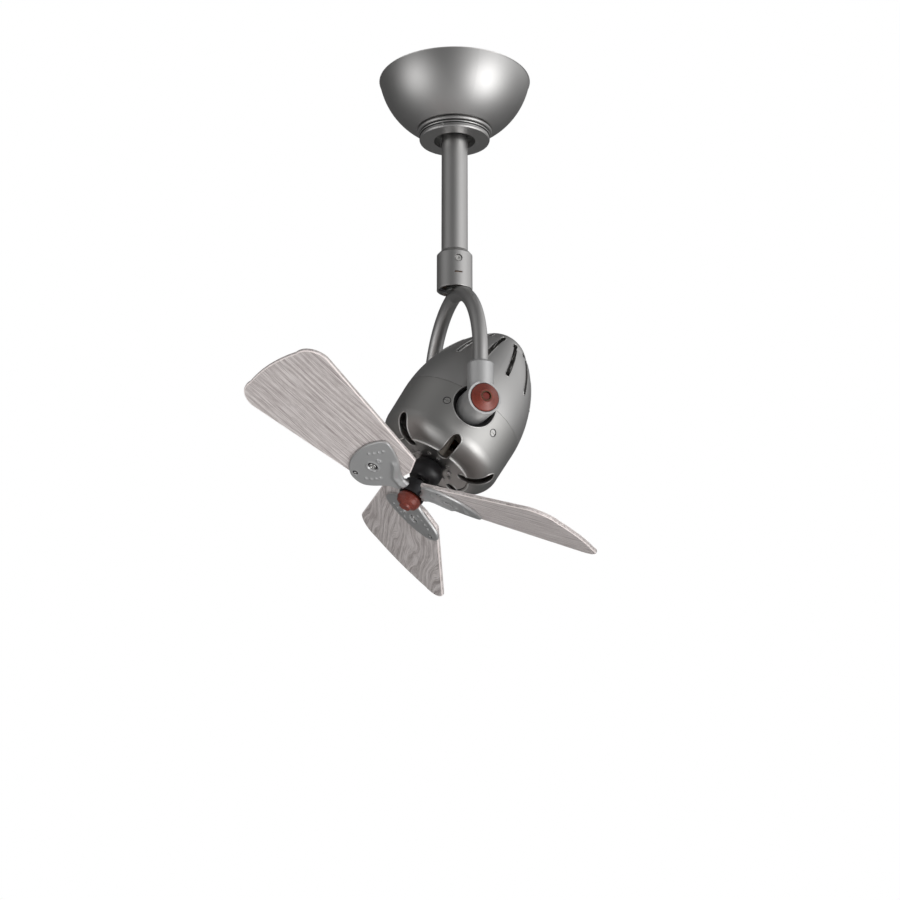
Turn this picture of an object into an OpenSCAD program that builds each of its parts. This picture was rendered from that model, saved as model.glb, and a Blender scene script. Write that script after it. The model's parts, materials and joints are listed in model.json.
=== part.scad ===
// Oscillating ceiling fan: a small bullet-shaped motor head with three blades hangs in a
// forked yoke. The yoke sweeps about the downrod and the head tilts between the fork's ends.
// Millimetres. The ceiling is the plane z = 0, Z points up and the head leans towards -Y.

/* [Canopy] */
// Radius of the canopy's rim on the ceiling
canopy_rim_r = 75.5; // [72:0.5:84]
// Height of the bowl from the ceiling to its lower lip
canopy_h = 53; // [50:0.5:60]
// Radius of the bowl's lower lip
canopy_lip_r = 38; // [37:0.5:42]
// Wall of the spun bowl
canopy_wall = 1.4; // [1:0.1:2]
// Height of the stepped ring under the bowl
ring_h = 12; // [11:0.5:16]
// Outer radius of the ring's bottom flange
ring_flange_r = 35.2; // [34.6:0.1:37]
// Hole in the ring, through which the downrod passes
ring_hole_r = 20.6; // [19:0.1:22]
// Length of the locating pin in the ring
ring_pin_l = 8; // [7:0.5:9]
// Distance between the two ceiling slots of the hanger bracket
slot_spacing = 88.9; // [80:0.1:96]
// Width of each ceiling slot
slot_w = 5.2; // [4:0.1:6.5]
// Length of each ceiling slot
slot_l = 14; // [10:0.5:18]
// Thickness of the hanger bracket's strap
strap_t = 2.5; // [2:0.1:3.5]
// Width of the hanger bracket's strap
strap_w = 30; // [24:1:36]

/* [Downrod] */
// Radius of the ball that hangs in the bracket
ball_r = 20; // [18:0.5:21]
// Depth of the ball's centre below the ceiling
ball_depth = 34; // [32:0.5:36]
// Outside diameter of the downrod
rod_d = 26; // [24:0.5:27]
// Wall of the downrod
rod_wall = 2; // [1.5:0.1:2.4]
// Depth of the downrod's lower end below the ceiling
rod_end = 202; // [160:1:320]
// Outside radius of the collar
collar_r = 17.5; // [17:0.1:19]
// Length of the collar
collar_h = 41; // [40:0.5:44]
// Turn of the collar's screw about the rod, seen from below
collar_screw_turn = -6; // [-40:1:40]

/* [Yoke] */
// Distance of each arm's straight end from the rod's axis
arm_x = 74.5; // [73:0.5:84]
// Bend radius of an arm along its centre line
arm_bend_r = 82; // [80:0.5:92]
// Outside diameter of an arm
arm_d = 14.4; // [12:0.2:15]
// Depth of the tilt axis below the collar's lower edge
tilt_drop = 136; // [134:1:150]
// Radius of the barrel at the foot of each arm
barrel_r = 16; // [15.2:0.1:17]
// Width of the barrel along the tilt axis
barrel_w = 35.3; // [34:0.1:38]
// Radius of the sleeve that holds each arm
sleeve_r = 12.5; // [11.8:0.1:12.8]
// Length of the sleeve above the tilt axis
sleeve_h = 38; // [34:0.5:44]
// Radius of each knob
knob_r = 13.4; // [12:0.1:13.8]
// Height of each knob's turned face above the barrel
knob_h = 5; // [3:0.5:8]

/* [Head] */
// Tilt of the head's axis from straight down, as it rests
tilt_rest = 31; // [0:1:60]
// Distance from the tilt axis to the head's own axis
head_offset = 2; // [0:0.1:2.5]
// Largest radius of the head
head_r = 60.7; // [59.5:0.1:61.2]
// Length of the head behind the tilt axis
head_back = 107; // [102:0.5:110]
// Distance of the front face ahead of the tilt axis
head_front = 48.5; // [46:0.5:54]
// Radius of the rounded shoulder round the front face
shoulder_r = 20.5; // [19:0.5:21]
// Wall of the two housings
head_wall = 1.9; // [1.5:0.1:2.2]
// Number of cooling slots in the rear housing
rear_slots = 12; // [8:1:14]
// Width of a rear slot
rear_slot_w = 4.3; // [3:0.1:5]
// Width of a shoulder slot
front_slot_w = 10; // [7:0.5:11]
// Radius of the round well for each barrel
well_r = 20.5; // [20:0.1:22]
// Radius of the bead on the front face
bead_r = 39.6; // [38:0.1:40]
// Radius of the dome that closes the shaft's bearing
boot_r = 15.8; // [15:0.1:17]

/* [Rotor] */
// Distance of the blades' plane ahead of the tilt axis
blade_plane = 81.5; // [80:0.5:90]
// Radius of the shaft
shaft_r = 4; // [3:0.1:5]
// Radius from the rotor's axis to the blade tips
blade_tip_r = 182; // [150:1:220]
// Width of a blade near its root
blade_root_w = 69; // [60:1:76]
// Width of a blade near its tip
blade_tip_w = 119; // [100:1:130]
// Thickness of a blade
blade_t = 3.5; // [3:0.1:6]
// Pitch of a blade about its own length
blade_pitch = 16.4; // [8:0.1:22]
// Turn of the first blade at rest, about the rotor's axis
blade_turn = 75.2; // [0:0.1:120]
// Length of a blade iron's plate from the rotor's axis
iron_l = 68.4; // [60:0.1:74]
// Thickness of a blade iron's plate
iron_t = 3; // [2:0.1:4]
// Radius of the finial
finial_r = 11.6; // [10:0.1:13]
// Length of the finial
finial_l = 13; // [12:0.5:20]

/* [Hidden] */
$fn = 64;

// Gap between pieces that lie or move close to each other
gap = 0.3;
// Radial clearance of a shaft, pin or bolt that turns in its hole
run = 0.05;
// Length of cutters that pass right through a piece
far = 400;

rod_r = rod_d / 2;

// Bowl: a sphere through the rim and the lip
bowl_up = (canopy_rim_r * canopy_rim_r - canopy_lip_r * canopy_lip_r - canopy_h * canopy_h)
  / (2 * canopy_h);
bowl_r = sqrt(canopy_rim_r * canopy_rim_r + bowl_up * bowl_up);
neck_r = 27;
neck_end = canopy_h + ring_h - 1.8;
canopy_screw_ring = 30.5;
canopy_screw_head_r = 3;
canopy_screw_r = 1.95;
seat_t = 3;
seat_top = ball_depth + 10;
seat_r = 34.5;
leg_x = 34;
key_w = 3.4;
key_reach = 2.2;
key_y = rod_r + 2.2;
wire_hole_x = 18;
wire_hole_r = 6;

rod_in_r = rod_r - rod_wall;
ball_pin_r = 3;
ball_pin_up = 5;
collar_top = rod_end - 18;
collar_end = collar_top + collar_h;
collar_bore_r = collar_r - 1.8;
collar_screw_z = collar_top + 12.5;
collar_screw_head_r = 3;
collar_screw_shank_r = 2.4;
slit_z = collar_top + 27;
slit_w = 8;
slit_h = 1.4;
motor_can_r = rod_in_r - 1.3;
motor_can_l = 33;
motor_flange_t = 2;
motor_flange_top = rod_end + 0.2;
motor_flange_end = motor_flange_top + motor_flange_t;
coupling_r = 2.5;
spindle_flange_r = 12.5;
spindle_flange_top = motor_flange_end + 2.3;
spindle_flange_t = 3;
spindle_flange_end = spindle_flange_top + spindle_flange_t;
spindle_r = 8.5;
bushing_top = spindle_flange_end + gap;
bushing_l = 10;
bushing_end = bushing_top + bushing_l;
retainer_t = 1.3;
coupling_end = spindle_flange_end + 5;

// Arms: each is one bend from the rod's axis down to a straight end
arm_r = arm_d / 2;
bend_x = arm_x - arm_bend_r;
bend_apex = sqrt(pow(arm_bend_r + arm_r, 2) - pow(collar_r - bend_x, 2));
bend_z = collar_end + 1.8 + bend_apex;
arm_seat_z = bend_z - sqrt(pow(arm_bend_r + arm_r, 2) - pow(bend_x, 2)) + 2.6;
arm_seat_r = spindle_r + 0.6;
bend_span = 90 + asin(-bend_x / arm_bend_r) - 2 * asin(-bend_x / arm_bend_r);
tilt_z = collar_end + tilt_drop;
arm_in_sleeve = 13;
sleeve_edge = 2.5;
barrel_out = arm_x + 11.5;
barrel_in = barrel_out - barrel_w;
knob_seat = 4;
knob_bolt_r = 3;
knob_recess_r = 4.9;
knob_recess_d = 3.2;

// Head, in its own frame: X is the tilt axis, Z runs forward and the origin is on the tilt axis
seam_z = 9.5;
band_z = 3;
shoulder_in = head_front - shoulder_r;
shoulder_c = bead_r - 0.1;
nose_arc_r = 131;
nose_arc_c = nose_arc_r - head_r;
nose_arc_z = 5;
nose_k = nose_arc_r - head_back;
nose_z = (nose_arc_c * nose_arc_c + nose_arc_z * nose_arc_z - nose_k * nose_k)
  / (2 * (nose_k + nose_arc_z));
nose_r = head_back - nose_z;
skirt_r = head_r - 3.2;
skirt_t = 1.5;
skirt_end = 14;
house_screw_turn = 26;
house_screw_z = 9.6;
house_screw_head_r = 3.4;
house_screw_shank_r = 1.5;
house_screw_seat = head_r - 1.8;
face_screw_ring = 20;
face_screw_r = 1.5;
face_screw_head_r = 2.3;
face_stud_ring = 21.5;
face_stud_r = 2.4;
face_stud_h = 0.8;
face_stud_turn = -33;
rear_slot_near = 48;
rear_slot_far = head_back - 12;
rear_slot_in = 12;
cup_r = well_r - gap;
cup_wall = 1.3;
cup_floor_x = barrel_in - gap - 1.5 - gap - 2.2;
cup_floor_t = 2.2;
disc_t = 1.5;
frame_r = 33.5;
frame_wall = 2.5;
frame_back = -30;
frame_front = 20;
boss_r = 9;
boss_end = cup_floor_x - gap;
post_r = 3;
stator_r = frame_r - frame_wall - 0.05;
stator_in_r = 16;
coil_w = 8.4;
coil_depth = 7.9;
stator_back = -20;
stator_front = 8;
bearing_r = 11;
bearing_w = 7;
front_bearing_z = head_front - head_wall - gap - bearing_w;
rear_bearing_z = frame_back - 5;
shaft_back = rear_bearing_z - 2;

// Rotor, in the head's frame
hub_r = 12.5;
hub_screw_r = 1.6;
hub_back = blade_plane - 8;
hub_front = blade_plane + 5.5;
boot_front = hub_back - 5;
boot_c = head_front + 10;
shaft_front = hub_front - 2.5;
blade_root = 19.5;
blade_corner = 28.5;
blade_chamfer_w = 34;
tip_corner_r = 21;
tip_arc_r = 180;
tip_bulge = 3.6;
iron_root = hub_r - 2;
// Outline of an iron's plate past its root, drawn at the length iron_line_l
iron_line_l = 68.4;
iron_line = [
  [17.5, -6.2], [25.7, -10.5], [34, -18.2], [42.3, -23.8], [52, -28.4], [59.6, -29.9], [64, -26.6],
  [67.4, -15.5], [68.4, -1.5], [65.4, 16.5], [59, 29.4], [51, 37.4], [43, 39.6], [34.3, 37.6],
  [28, 30.4], [22.8, 20.5], [17.6, 12]
];
// Small bosses in two arcs, and the bent rib of the neck
iron_dots = [
  [59.6, -2.8], [57.5, -8], [55.8, -13.2], [54.6, -18.4],
  [38.2, 27], [35, 22.6], [32.9, 17.6], [31.7, 12.4]
];
iron_ridge = [[12.5, -0.8], [18.5, 0.2], [24.6, -0.8], [28.6, -5.2], [32.2, -10.4], [37, -15]];
dot_r = 1.3;
dot_h = 0.7;
rib_w = 2;
blade_screw_x = 46;
blade_screw_y = 8;
ring_dot_x = 48;
ring_dot_y = -4.2;
blade_screw_r = 2;
blade_screw_head_r = 4.6;
outer_screw_x = 49.2;
outer_screw_y = 31.4;
outer_screw_r = 1.2;
outer_screw_head_r = 2.4;

metal = [0.62, 0.62, 0.61];
dark = [0.12, 0.12, 0.12];
steel = [0.75, 0.75, 0.75];
copper = [0.72, 0.42, 0.24];
mahogany = [0.42, 0.17, 0.12];
barnwood = [0.74, 0.70, 0.69];
bronze = [0.66, 0.52, 0.34];

// Frame of the tilt: its X axis is the tilt axis and its Z axis points forward
module tilt_frame() translate([0, 0, -tilt_z]) rotate([180 - tilt_rest, 0, 0]) children();

// Frame of the head: its Z axis is the rotor's axis
module head_frame() tilt_frame() translate([0, -head_offset, 0]) children();

// Children drawn round the tilt axis, inside the head's frame
module at_tilt_axis() translate([0, head_offset, 0]) children();

// Frame of blade i: X runs out along the blade and Z is the normal of its front face
module blade_frame(i)
  head_frame()
    translate([0, 0, blade_plane]) rotate([0, 0, blade_turn + 120 * i]) rotate([blade_pitch, 0, 0])
      children();

// A cylinder along X from x0 to x1
module x_rod(r, x0, x1) translate([x0, 0, 0]) rotate([0, 90, 0]) cylinder(r = r, h = x1 - x0);

// The left side's pieces are the right side's, mirrored
module on_left() mirror([1, 0, 0]) children();

// Slot outline of length l and width w, with round ends, along X
module slot_outline(l, w) {
  square([l - w, w], center = true);
  for (s = [-1, 1]) translate([s * (l - w) / 2, 0]) circle(d = w);
}

// Places of the three canopy screws
module at_canopy_screws() for (a = [30, 150, 270]) rotate([0, 0, a])
  translate([canopy_screw_ring, 0, 0]) children();

// Hanger bracket: ceiling plate, two legs and the open seat of the ball
module hanger_bracket() color(steel) {
  plate_l = slot_spacing + slot_l + 8;
  difference() {
    translate([-plate_l / 2, -strap_w / 2, -strap_t]) cube([plate_l, strap_w, strap_t]);
    for (s = [-1, 1]) translate([s * slot_spacing / 2, 0, -strap_t - 1])
      linear_extrude(strap_t + 2) slot_outline(slot_l, slot_w);
    for (s = [-1, 1]) translate([s * wire_hole_x, 0, -strap_t - 1])
      cylinder(r = wire_hole_r, h = strap_t + 2);
  }
  for (s = [0, 1]) mirror([s, 0, 0])
    translate([leg_x - strap_t, -strap_w / 2, -seat_top])
      cube([strap_t, strap_w, seat_top - strap_t]);
  difference() {
    union() {
      translate([0, 0, -seat_top - seat_t]) cylinder(r = seat_r, h = seat_t);
      at_canopy_screws() translate([0, 0, gap + canopy_wall - canopy_h])
        cylinder(r = 3.4, h = canopy_h - canopy_wall - gap - seat_top);
    }
    translate([0, 0, -ball_depth]) sphere(r = ball_r + gap);
    translate([-rod_r - 1, -far, -seat_top - seat_t - 1]) cube([rod_d + 2, far, seat_t + 2]);
    at_canopy_screws() translate([0, 0, -canopy_h - 1])
      cylinder(r = canopy_screw_r + run, h = canopy_h - seat_top + 2);
  }
  difference() {
    translate([-key_w / 2, key_y, -seat_top - seat_t]) cube([key_w, ball_r + 4 - key_y, seat_t]);
    translate([0, 0, -ball_depth]) sphere(r = ball_r - key_reach + gap);
  }
}

// Bowl of the canopy with its floor and the neck that carries the ring
module canopy() color(metal) {
  difference() {
    rotate_extrude($fn = 128) difference() {
      intersection() {
        translate([0, bowl_up]) circle(r = bowl_r, $fn = 180);
        translate([0, -canopy_h]) square([far, canopy_h]);
      }
      intersection() {
        translate([0, bowl_up]) circle(r = bowl_r - canopy_wall, $fn = 180);
        translate([-far, canopy_wall - canopy_h]) square([2 * far, canopy_h]);
      }
    }
    translate([0, 0, -canopy_h - 1]) cylinder(r = neck_r - canopy_wall, h = canopy_wall + 2);
    at_canopy_screws() translate([0, 0, -canopy_h - 1])
      cylinder(r = canopy_screw_r + gap, h = canopy_wall + 2);
  }
  difference() {
    translate([0, 0, -neck_end]) cylinder(r = neck_r, h = neck_end - canopy_h);
    translate([0, 0, -neck_end - 1]) cylinder(r = neck_r - canopy_wall, h = neck_end - canopy_h + 2);
  }
}

// Three screws that hold the canopy up to the bracket
module canopy_screws() color(steel) at_canopy_screws() {
  translate([0, 0, -canopy_h - 2]) cylinder(r = canopy_screw_head_r, h = 2);
  translate([0, 0, -canopy_h - 0.5]) cylinder(r = canopy_screw_r, h = canopy_h - seat_top - 1);
}

// Stepped ring under the bowl: groove, bead, groove and a round-edged flange
module canopy_ring() color(metal) {
  top = -canopy_h - gap;
  bottom = -canopy_h - ring_h;
  edge_r = 1.7;
  difference() {
    rotate_extrude($fn = 128) difference() {
      union() {
        translate([ring_hole_r, bottom]) square([ring_flange_r - 0.6 - ring_hole_r, top - bottom]);
        translate([ring_flange_r - 1.1, top - 2.4 - edge_r]) square([1.6, 2 * edge_r]);
        translate([ring_flange_r + 0.5, top - 2.4]) circle(r = edge_r);
        translate([ring_flange_r - edge_r, bottom + edge_r]) circle(r = edge_r);
      }
      translate([0, -neck_end - gap]) square([neck_r + gap, far]);
      translate([neck_r, top - 3])
        square([canopy_screw_ring + canopy_screw_head_r + 0.4 - neck_r, far]);
    }
    ring_pin_place() x_rod(0.9 + run, 0, far);
  }
}

// Line of the ring's pin
module ring_pin_place() translate([0, 0, -canopy_h - ring_h + 3]) rotate([0, 0, -38]) children();

// Pin that locks the ring to the canopy's neck
module ring_pin() color(steel) ring_pin_place() {
  x_rod(0.9, neck_r + gap, neck_r + gap + ring_pin_l);
  x_rod(1.25, ring_flange_r + 0.1, ring_flange_r + 0.8);
}

// Ball on the downrod's upper end, with the slot of the bracket's key
module hanger_ball() color(dark) translate([0, 0, -ball_depth]) difference() {
  sphere(r = ball_r, $fn = 96);
  cylinder(r = rod_r + run, h = far, center = true);
  translate([-far, -far, ball_r - 4]) cube([2 * far, 2 * far, far]);
  difference() {
    translate([-key_w / 2 - gap, 0, -far]) cube([key_w + 2 * gap, far, 2 * far]);
    sphere(r = ball_r - key_reach);
  }
  translate([0, 0, ball_pin_up]) x_rod(ball_pin_r + run, -far, far);
}

// Cross pin through the ball and the downrod
module ball_pin() color(steel) translate([0, 0, ball_pin_up - ball_depth]) x_rod(ball_pin_r, -18, 18);

// Downrod: tube from the ball to the collar
module downrod() color(metal) difference() {
  translate([0, 0, -rod_end]) cylinder(r = rod_r, h = rod_end - ball_depth + 17);
  translate([0, 0, -rod_end - 1]) cylinder(r = rod_in_r, h = far);
  translate([0, 0, ball_pin_up - ball_depth]) x_rod(ball_pin_r + run, -far, far);
  collar_screw_place() x_rod(collar_screw_shank_r + run, 0, far);
}

// Line of the collar's screw
module collar_screw_place()
  translate([0, 0, -collar_screw_z]) rotate([0, 0, collar_screw_turn]) children();

// Collar: clamps the rod above and holds the yoke's bushing below
module collar() color(metal) {
  top_r = rod_r + 0.4;
  difference() {
    rotate_extrude($fn = 128) polygon([
      [0, -collar_top], [top_r, -collar_top], [collar_r, -collar_top - 4.6],
      [collar_r, -collar_end + 0.4], [collar_r - 0.4, -collar_end], [0, -collar_end]
    ]);
    translate([0, 0, -rod_end]) cylinder(r = rod_r + run, h = far);
    translate([0, 0, -far]) cylinder(r = collar_bore_r, h = far - motor_flange_top);
    translate([0, 0, -motor_flange_top - 1]) cylinder(r = rod_in_r, h = 3);
    collar_screw_place() {
      x_rod(collar_screw_shank_r + run, 0, far);
      x_rod(collar_screw_head_r + 0.8, rod_r + 1.6, far);
    }
    translate([0, 0, -slit_z]) rotate([0, 0, collar_screw_turn])
      translate([0, -slit_w / 2, -slit_h / 2]) cube([far, slit_w, slit_h]);
    translate([0, 0, -bushing_end - retainer_t - 0.1])
      cylinder(r = collar_bore_r + 0.7, h = retainer_t + 0.2);
  }
}

// Screw that pins the collar to the rod
module collar_screw() color(steel) collar_screw_place() difference() {
  union() {
    x_rod(collar_screw_head_r, rod_r + 1.6, collar_r - 1);
    x_rod(collar_screw_shank_r, rod_in_r - 0.5, rod_r + 1.7);
  }
  x_rod(1.3, collar_r - 2.4, far);
}

// Gear motor of the sweep: a can in the rod's bore on a flange under the rod's end
module sweep_motor() color(steel) difference() {
  union() {
    translate([0, 0, -motor_flange_top - 0.01]) cylinder(r = motor_can_r, h = motor_can_l);
    translate([0, 0, -motor_flange_end]) cylinder(r = collar_bore_r - gap, h = motor_flange_t);
  }
  translate([0, 0, -motor_flange_end - 1]) cylinder(r = coupling_r + run, h = 6);
}

// Bushing that carries the yoke, keyed in the collar's slit
module spindle_bushing() color(bronze) difference() {
  union() {
    translate([0, 0, -bushing_end]) cylinder(r = collar_bore_r - run, h = bushing_l);
    translate([0, 0, -slit_z]) rotate([0, 0, collar_screw_turn])
      translate([0, -slit_w / 2 + gap, -slit_h / 2 + 0.2])
        cube([collar_r - 0.8, slit_w - 2 * gap, slit_h - 0.4]);
  }
  translate([0, 0, -bushing_end - 1]) cylinder(r = spindle_r + run, h = bushing_l + 2);
}

// Spring ring in the collar's groove, under the bushing
module retaining_ring() color(steel) translate([0, 0, -bushing_end - retainer_t]) difference() {
  cylinder(r = collar_bore_r + 0.5, h = retainer_t);
  translate([0, 0, -1]) cylinder(r = collar_bore_r - 3, h = retainer_t + 2);
  translate([0, -2.5, -1]) cube([far, 5, retainer_t + 2]);
}

// Output shaft of the sweep motor
module motor_coupling() color(steel) translate([0, 0, -coupling_end])
  cylinder(r = coupling_r, h = coupling_end - motor_flange_top - 1);

// Spindle on top of the yoke: its flange rides on the bushing
module yoke_spindle() color(metal) difference() {
  union() {
    translate([0, 0, -spindle_flange_end]) cylinder(r = spindle_flange_r, h = spindle_flange_t);
    translate([0, 0, -arm_seat_z]) cylinder(r = spindle_r, h = arm_seat_z - spindle_flange_end + 1);
  }
  translate([0, 0, -coupling_end]) cylinder(r = coupling_r + run, h = far);
}

// Arm on the +X side: one long bend and a straight end in the sleeve
module arm_right() color(metal) difference() {
  union() {
    intersection() {
      translate([bend_x, 0, -bend_z]) rotate([90, 0, 0])
        rotate_extrude($fn = 128) translate([arm_bend_r, 0]) circle(r = arm_r);
      translate([0, -arm_d, -bend_z]) cube([far, 2 * arm_d, far]);
    }
    translate([arm_x, 0, -tilt_z + sleeve_h - arm_in_sleeve])
      cylinder(r = arm_r, h = tilt_z - bend_z - sleeve_h + arm_in_sleeve);
  }
  translate([0, 0, -arm_seat_z]) cylinder(r = arm_seat_r, h = far);
}
module arm_left() on_left() arm_right();

// Elbow at the foot of an arm: a sleeve with a chamfered top, on a barrel across
module elbow_right() color(metal) translate([0, 0, -tilt_z]) difference() {
  union() {
    x_rod(barrel_r, barrel_in, barrel_out);
    translate([arm_x, 0, 0]) cylinder(r = sleeve_r, h = sleeve_h - sleeve_edge);
    translate([arm_x, 0, sleeve_h - sleeve_edge])
      cylinder(r1 = sleeve_r, r2 = sleeve_r - sleeve_edge, h = sleeve_edge, $fn = 128);
  }
  translate([arm_x, 0, sleeve_h - arm_in_sleeve]) cylinder(r = arm_r + run, h = far);
  x_rod(knob_r + 0.5, barrel_out - knob_seat, far);
  x_rod(knob_bolt_r + run, 0, far);
}
module elbow_left() on_left() elbow_right();

// Knob turned from mahogany: a low cone with a recess in its face
module knob_right() color(mahogany) translate([0, 0, -tilt_z]) difference() {
  rotate([90, 0, 90]) rotate_extrude($fn = 128) polygon([
    [knob_bolt_r + run, barrel_out - knob_seat + gap],
    [knob_r - 1, barrel_out - knob_seat + gap], [knob_r, barrel_out - knob_seat + gap + 1],
    [knob_r, barrel_out + 0.6], [knob_r - 0.8, barrel_out + 1.3],
    [knob_recess_r + 1.2, barrel_out + knob_h], [knob_bolt_r + run, barrel_out + knob_h]
  ]);
  x_rod(knob_recess_r, barrel_out + knob_h - knob_recess_d, far);
}
module knob_left() on_left() knob_right();

// Metal ferrule that lines the recess of a knob
module knob_ferrule_right() color(steel) translate([0, 0, -tilt_z]) difference() {
  x_rod(knob_recess_r - run, barrel_out + knob_h - knob_recess_d, barrel_out + knob_h + 0.3);
  x_rod(knob_recess_r - 0.9, 0, far);
}
module knob_ferrule_left() on_left() knob_ferrule_right();

// Bolt of a knob: it passes the barrel and screws into the motor frame's boss
module knob_bolt_right() color(steel) translate([0, 0, -tilt_z]) {
  x_rod(knob_bolt_r, frame_r + 3, barrel_out + knob_h - knob_recess_d);
  x_rod(knob_recess_r - 1.2, barrel_out + knob_h - knob_recess_d, barrel_out + knob_h - 1.4);
}
module knob_bolt_left() on_left() knob_bolt_right();

// Half section of the rear housing, drawn with the rear tip upwards and moved in by t
module rear_section(t) {
  intersection() {
    translate([-nose_arc_c, nose_arc_z]) circle(r = nose_arc_r - t, $fn = 256);
    translate([0, seam_z + gap]) square([far, nose_z - seam_z + 12]);
  }
  intersection() {
    translate([0, nose_z]) circle(r = nose_r - t, $fn = 128);
    translate([0, seam_z]) square([far, far]);
  }
}

// Half section of the front housing, moved in by t: its taper ends just inside the shoulder's arc
module front_section(t) {
  lap = 0.3;
  edge = shoulder_in + 1;
  edge_r = shoulder_c + sqrt((shoulder_r - t) * (shoulder_r - t) - 1) - 0.02;
  polygon([
    [0, -seam_z], [head_r - t, -seam_z], [head_r - t, -band_z],
    [edge_r, edge], [edge_r - 4, edge + 2], [0, edge + 2]
  ]);
  intersection() {
    translate([shoulder_c, shoulder_in]) circle(r = shoulder_r - t, $fn = 160);
    translate([shoulder_c - 1, edge - lap]) square([far, far]);
  }
  translate([0, edge]) square([shoulder_c, head_front - t - edge]);
}

// Both round wells for the barrels
module wells() at_tilt_axis() rotate([0, 90, 0]) cylinder(r = well_r, h = far, center = true);

// Places of the four housing screws, with X along each screw
module at_house_screws() for (side = [0, 180], s = [-1, 1])
  rotate([0, 0, side + s * house_screw_turn]) translate([0, 0, house_screw_z]) children();

// Places of the six face screws
module at_face_screws() for (i = [0 : 5])
  rotate([0, 0, 60 * i]) translate([face_screw_ring, 0, 0]) children();

// Places of the six studs pressed in the face, just under its surface
module at_face_studs() for (i = [0 : 5]) rotate([0, 0, 60 * i + face_stud_turn])
  translate([face_stud_ring, 0, head_front - 0.5]) children();

// Rear housing: ogive shell with long cooling slots and a skirt under the front housing
module rear_housing() color(metal) head_frame() difference() {
  union() {
    rotate([180, 0, 0]) rotate_extrude($fn = 180) difference() {
      rear_section(0);
      rear_section(head_wall);
      square([head_r - head_wall - 0.6, seam_z + 4]);
    }
    translate([0, 0, -seam_z - 4]) rotate_extrude($fn = 180) polygon([
      [skirt_r - skirt_t, 0], [head_r - head_wall + 0.2, 0], [head_r - head_wall + 0.2, 3],
      [skirt_r, 4.5], [skirt_r, seam_z + 4 + skirt_end], [skirt_r - skirt_t, seam_z + 4 + skirt_end]
    ]);
  }
  wells();
  for (i = [0 : rear_slots - 1]) rotate([0, 0, (i + 0.68) * 360 / rear_slots])
    translate([rear_slot_in, 0, -(rear_slot_near + rear_slot_far) / 2]) rotate([0, 90, 0])
      linear_extrude(far) slot_outline(rear_slot_far - rear_slot_near, rear_slot_w);
  at_house_screws() x_rod(house_screw_shank_r + run, 0, far);
}

// Front housing: band, taper, rounded shoulder with six slots, face with a bead
module front_housing() color(metal) head_frame() {
  slot_out = [head_r - 1.5, shoulder_in + 5.6];
  slot_in = [bead_r - 10.6, head_front];
  slot_mid = (slot_out + slot_in) / 2;
  slot_len = norm(slot_in - slot_out);
  slot_lean = atan2(slot_out[0] - slot_in[0], slot_in[1] - slot_out[1]);
  difference() {
    union() {
      rotate_extrude($fn = 180) difference() {
        front_section(0);
        translate([0, -0.01]) front_section(head_wall);
        translate([0, -seam_z - 1]) square([head_r - head_wall, 6]);
      }
      translate([0, 0, head_front]) rotate_extrude($fn = 180) translate([bead_r, 0]) circle(r = 1.2);
      at_face_studs() cylinder(r = face_stud_r, h = face_stud_h + 0.5);
      translate([0, 0, front_bearing_z + 0.5])
        cylinder(r = bearing_r + 2.5, h = head_front - front_bearing_z - 1);
    }
    translate([0, 0, front_bearing_z - 1]) cylinder(r = bearing_r + run, h = bearing_w + 1 + gap);
    cylinder(r = bearing_r - 2, h = far);
    wells();
    for (i = [0 : 5]) rotate([0, 0, 60 * i])
      translate([slot_mid[0], 0, slot_mid[1]]) rotate([0, 90 - slot_lean, 0])
        translate([0, 0, -14]) linear_extrude(30) slot_outline(slot_len, front_slot_w);
    at_house_screws() {
      x_rod(house_screw_shank_r + run, 0, far);
      x_rod(house_screw_head_r + 0.4, house_screw_seat, far);
    }
    at_face_screws() cylinder(r = face_screw_r + run, h = far);
    at_face_studs() translate([0, 0, 0.5]) cylinder(r = face_stud_r - 1, h = far);
  }
}

// Domed boot that closes the front bearing round the shaft
module shaft_boot() color(dark) head_frame() difference() {
  intersection() {
    translate([0, 0, boot_c]) sphere(r = boot_r, $fn = 96);
    translate([0, 0, head_front]) cylinder(r = boot_r + 1, h = boot_front - head_front);
  }
  translate([0, 0, head_front - 1]) cylinder(r = shaft_r + 1, h = far);
  translate([0, 0, head_front - 1]) cylinder(r = bearing_r - 1, h = 8);
}

// Screws that join both housings to the motor frame
module housing_screws() color(steel) head_frame() at_house_screws() difference() {
  union() {
    x_rod(house_screw_head_r, house_screw_seat, house_screw_seat + 1.1);
    x_rod(house_screw_shank_r, house_screw_seat - 11, house_screw_seat + 0.5);
  }
  translate([house_screw_seat + 0.5, -far / 2, -0.4]) cube([far, far, 0.8]);
}

// Screws that join the front face to the motor frame's posts
module face_screws() color(steel) head_frame() at_face_screws() {
  translate([0, 0, head_front]) cylinder(r = face_screw_head_r, h = 1.4);
  translate([0, 0, head_front - 9]) cylinder(r = face_screw_r, h = 9.5);
}

// Cup that lines a well: its floor carries the friction disc
module well_cup_right() color(dark) head_frame() intersection() {
  at_tilt_axis() difference() {
    x_rod(cup_r, cup_floor_x, far / 2);
    x_rod(cup_r - cup_wall, cup_floor_x + cup_floor_t, far);
    x_rod(knob_bolt_r + gap, 0, far);
  }
  cylinder(r = head_r - head_wall - 0.7, h = far, center = true, $fn = 128);
}
module well_cup_left() on_left() well_cup_right();

// Disc between the barrel and the cup's floor that holds the tilt
module friction_disc_right() color(bronze) tilt_frame() difference() {
  x_rod(barrel_r - 1, cup_floor_x + cup_floor_t + gap, cup_floor_x + cup_floor_t + gap + disc_t);
  x_rod(knob_bolt_r + gap, 0, far);
}
module friction_disc_left() on_left() friction_disc_right();

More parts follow.
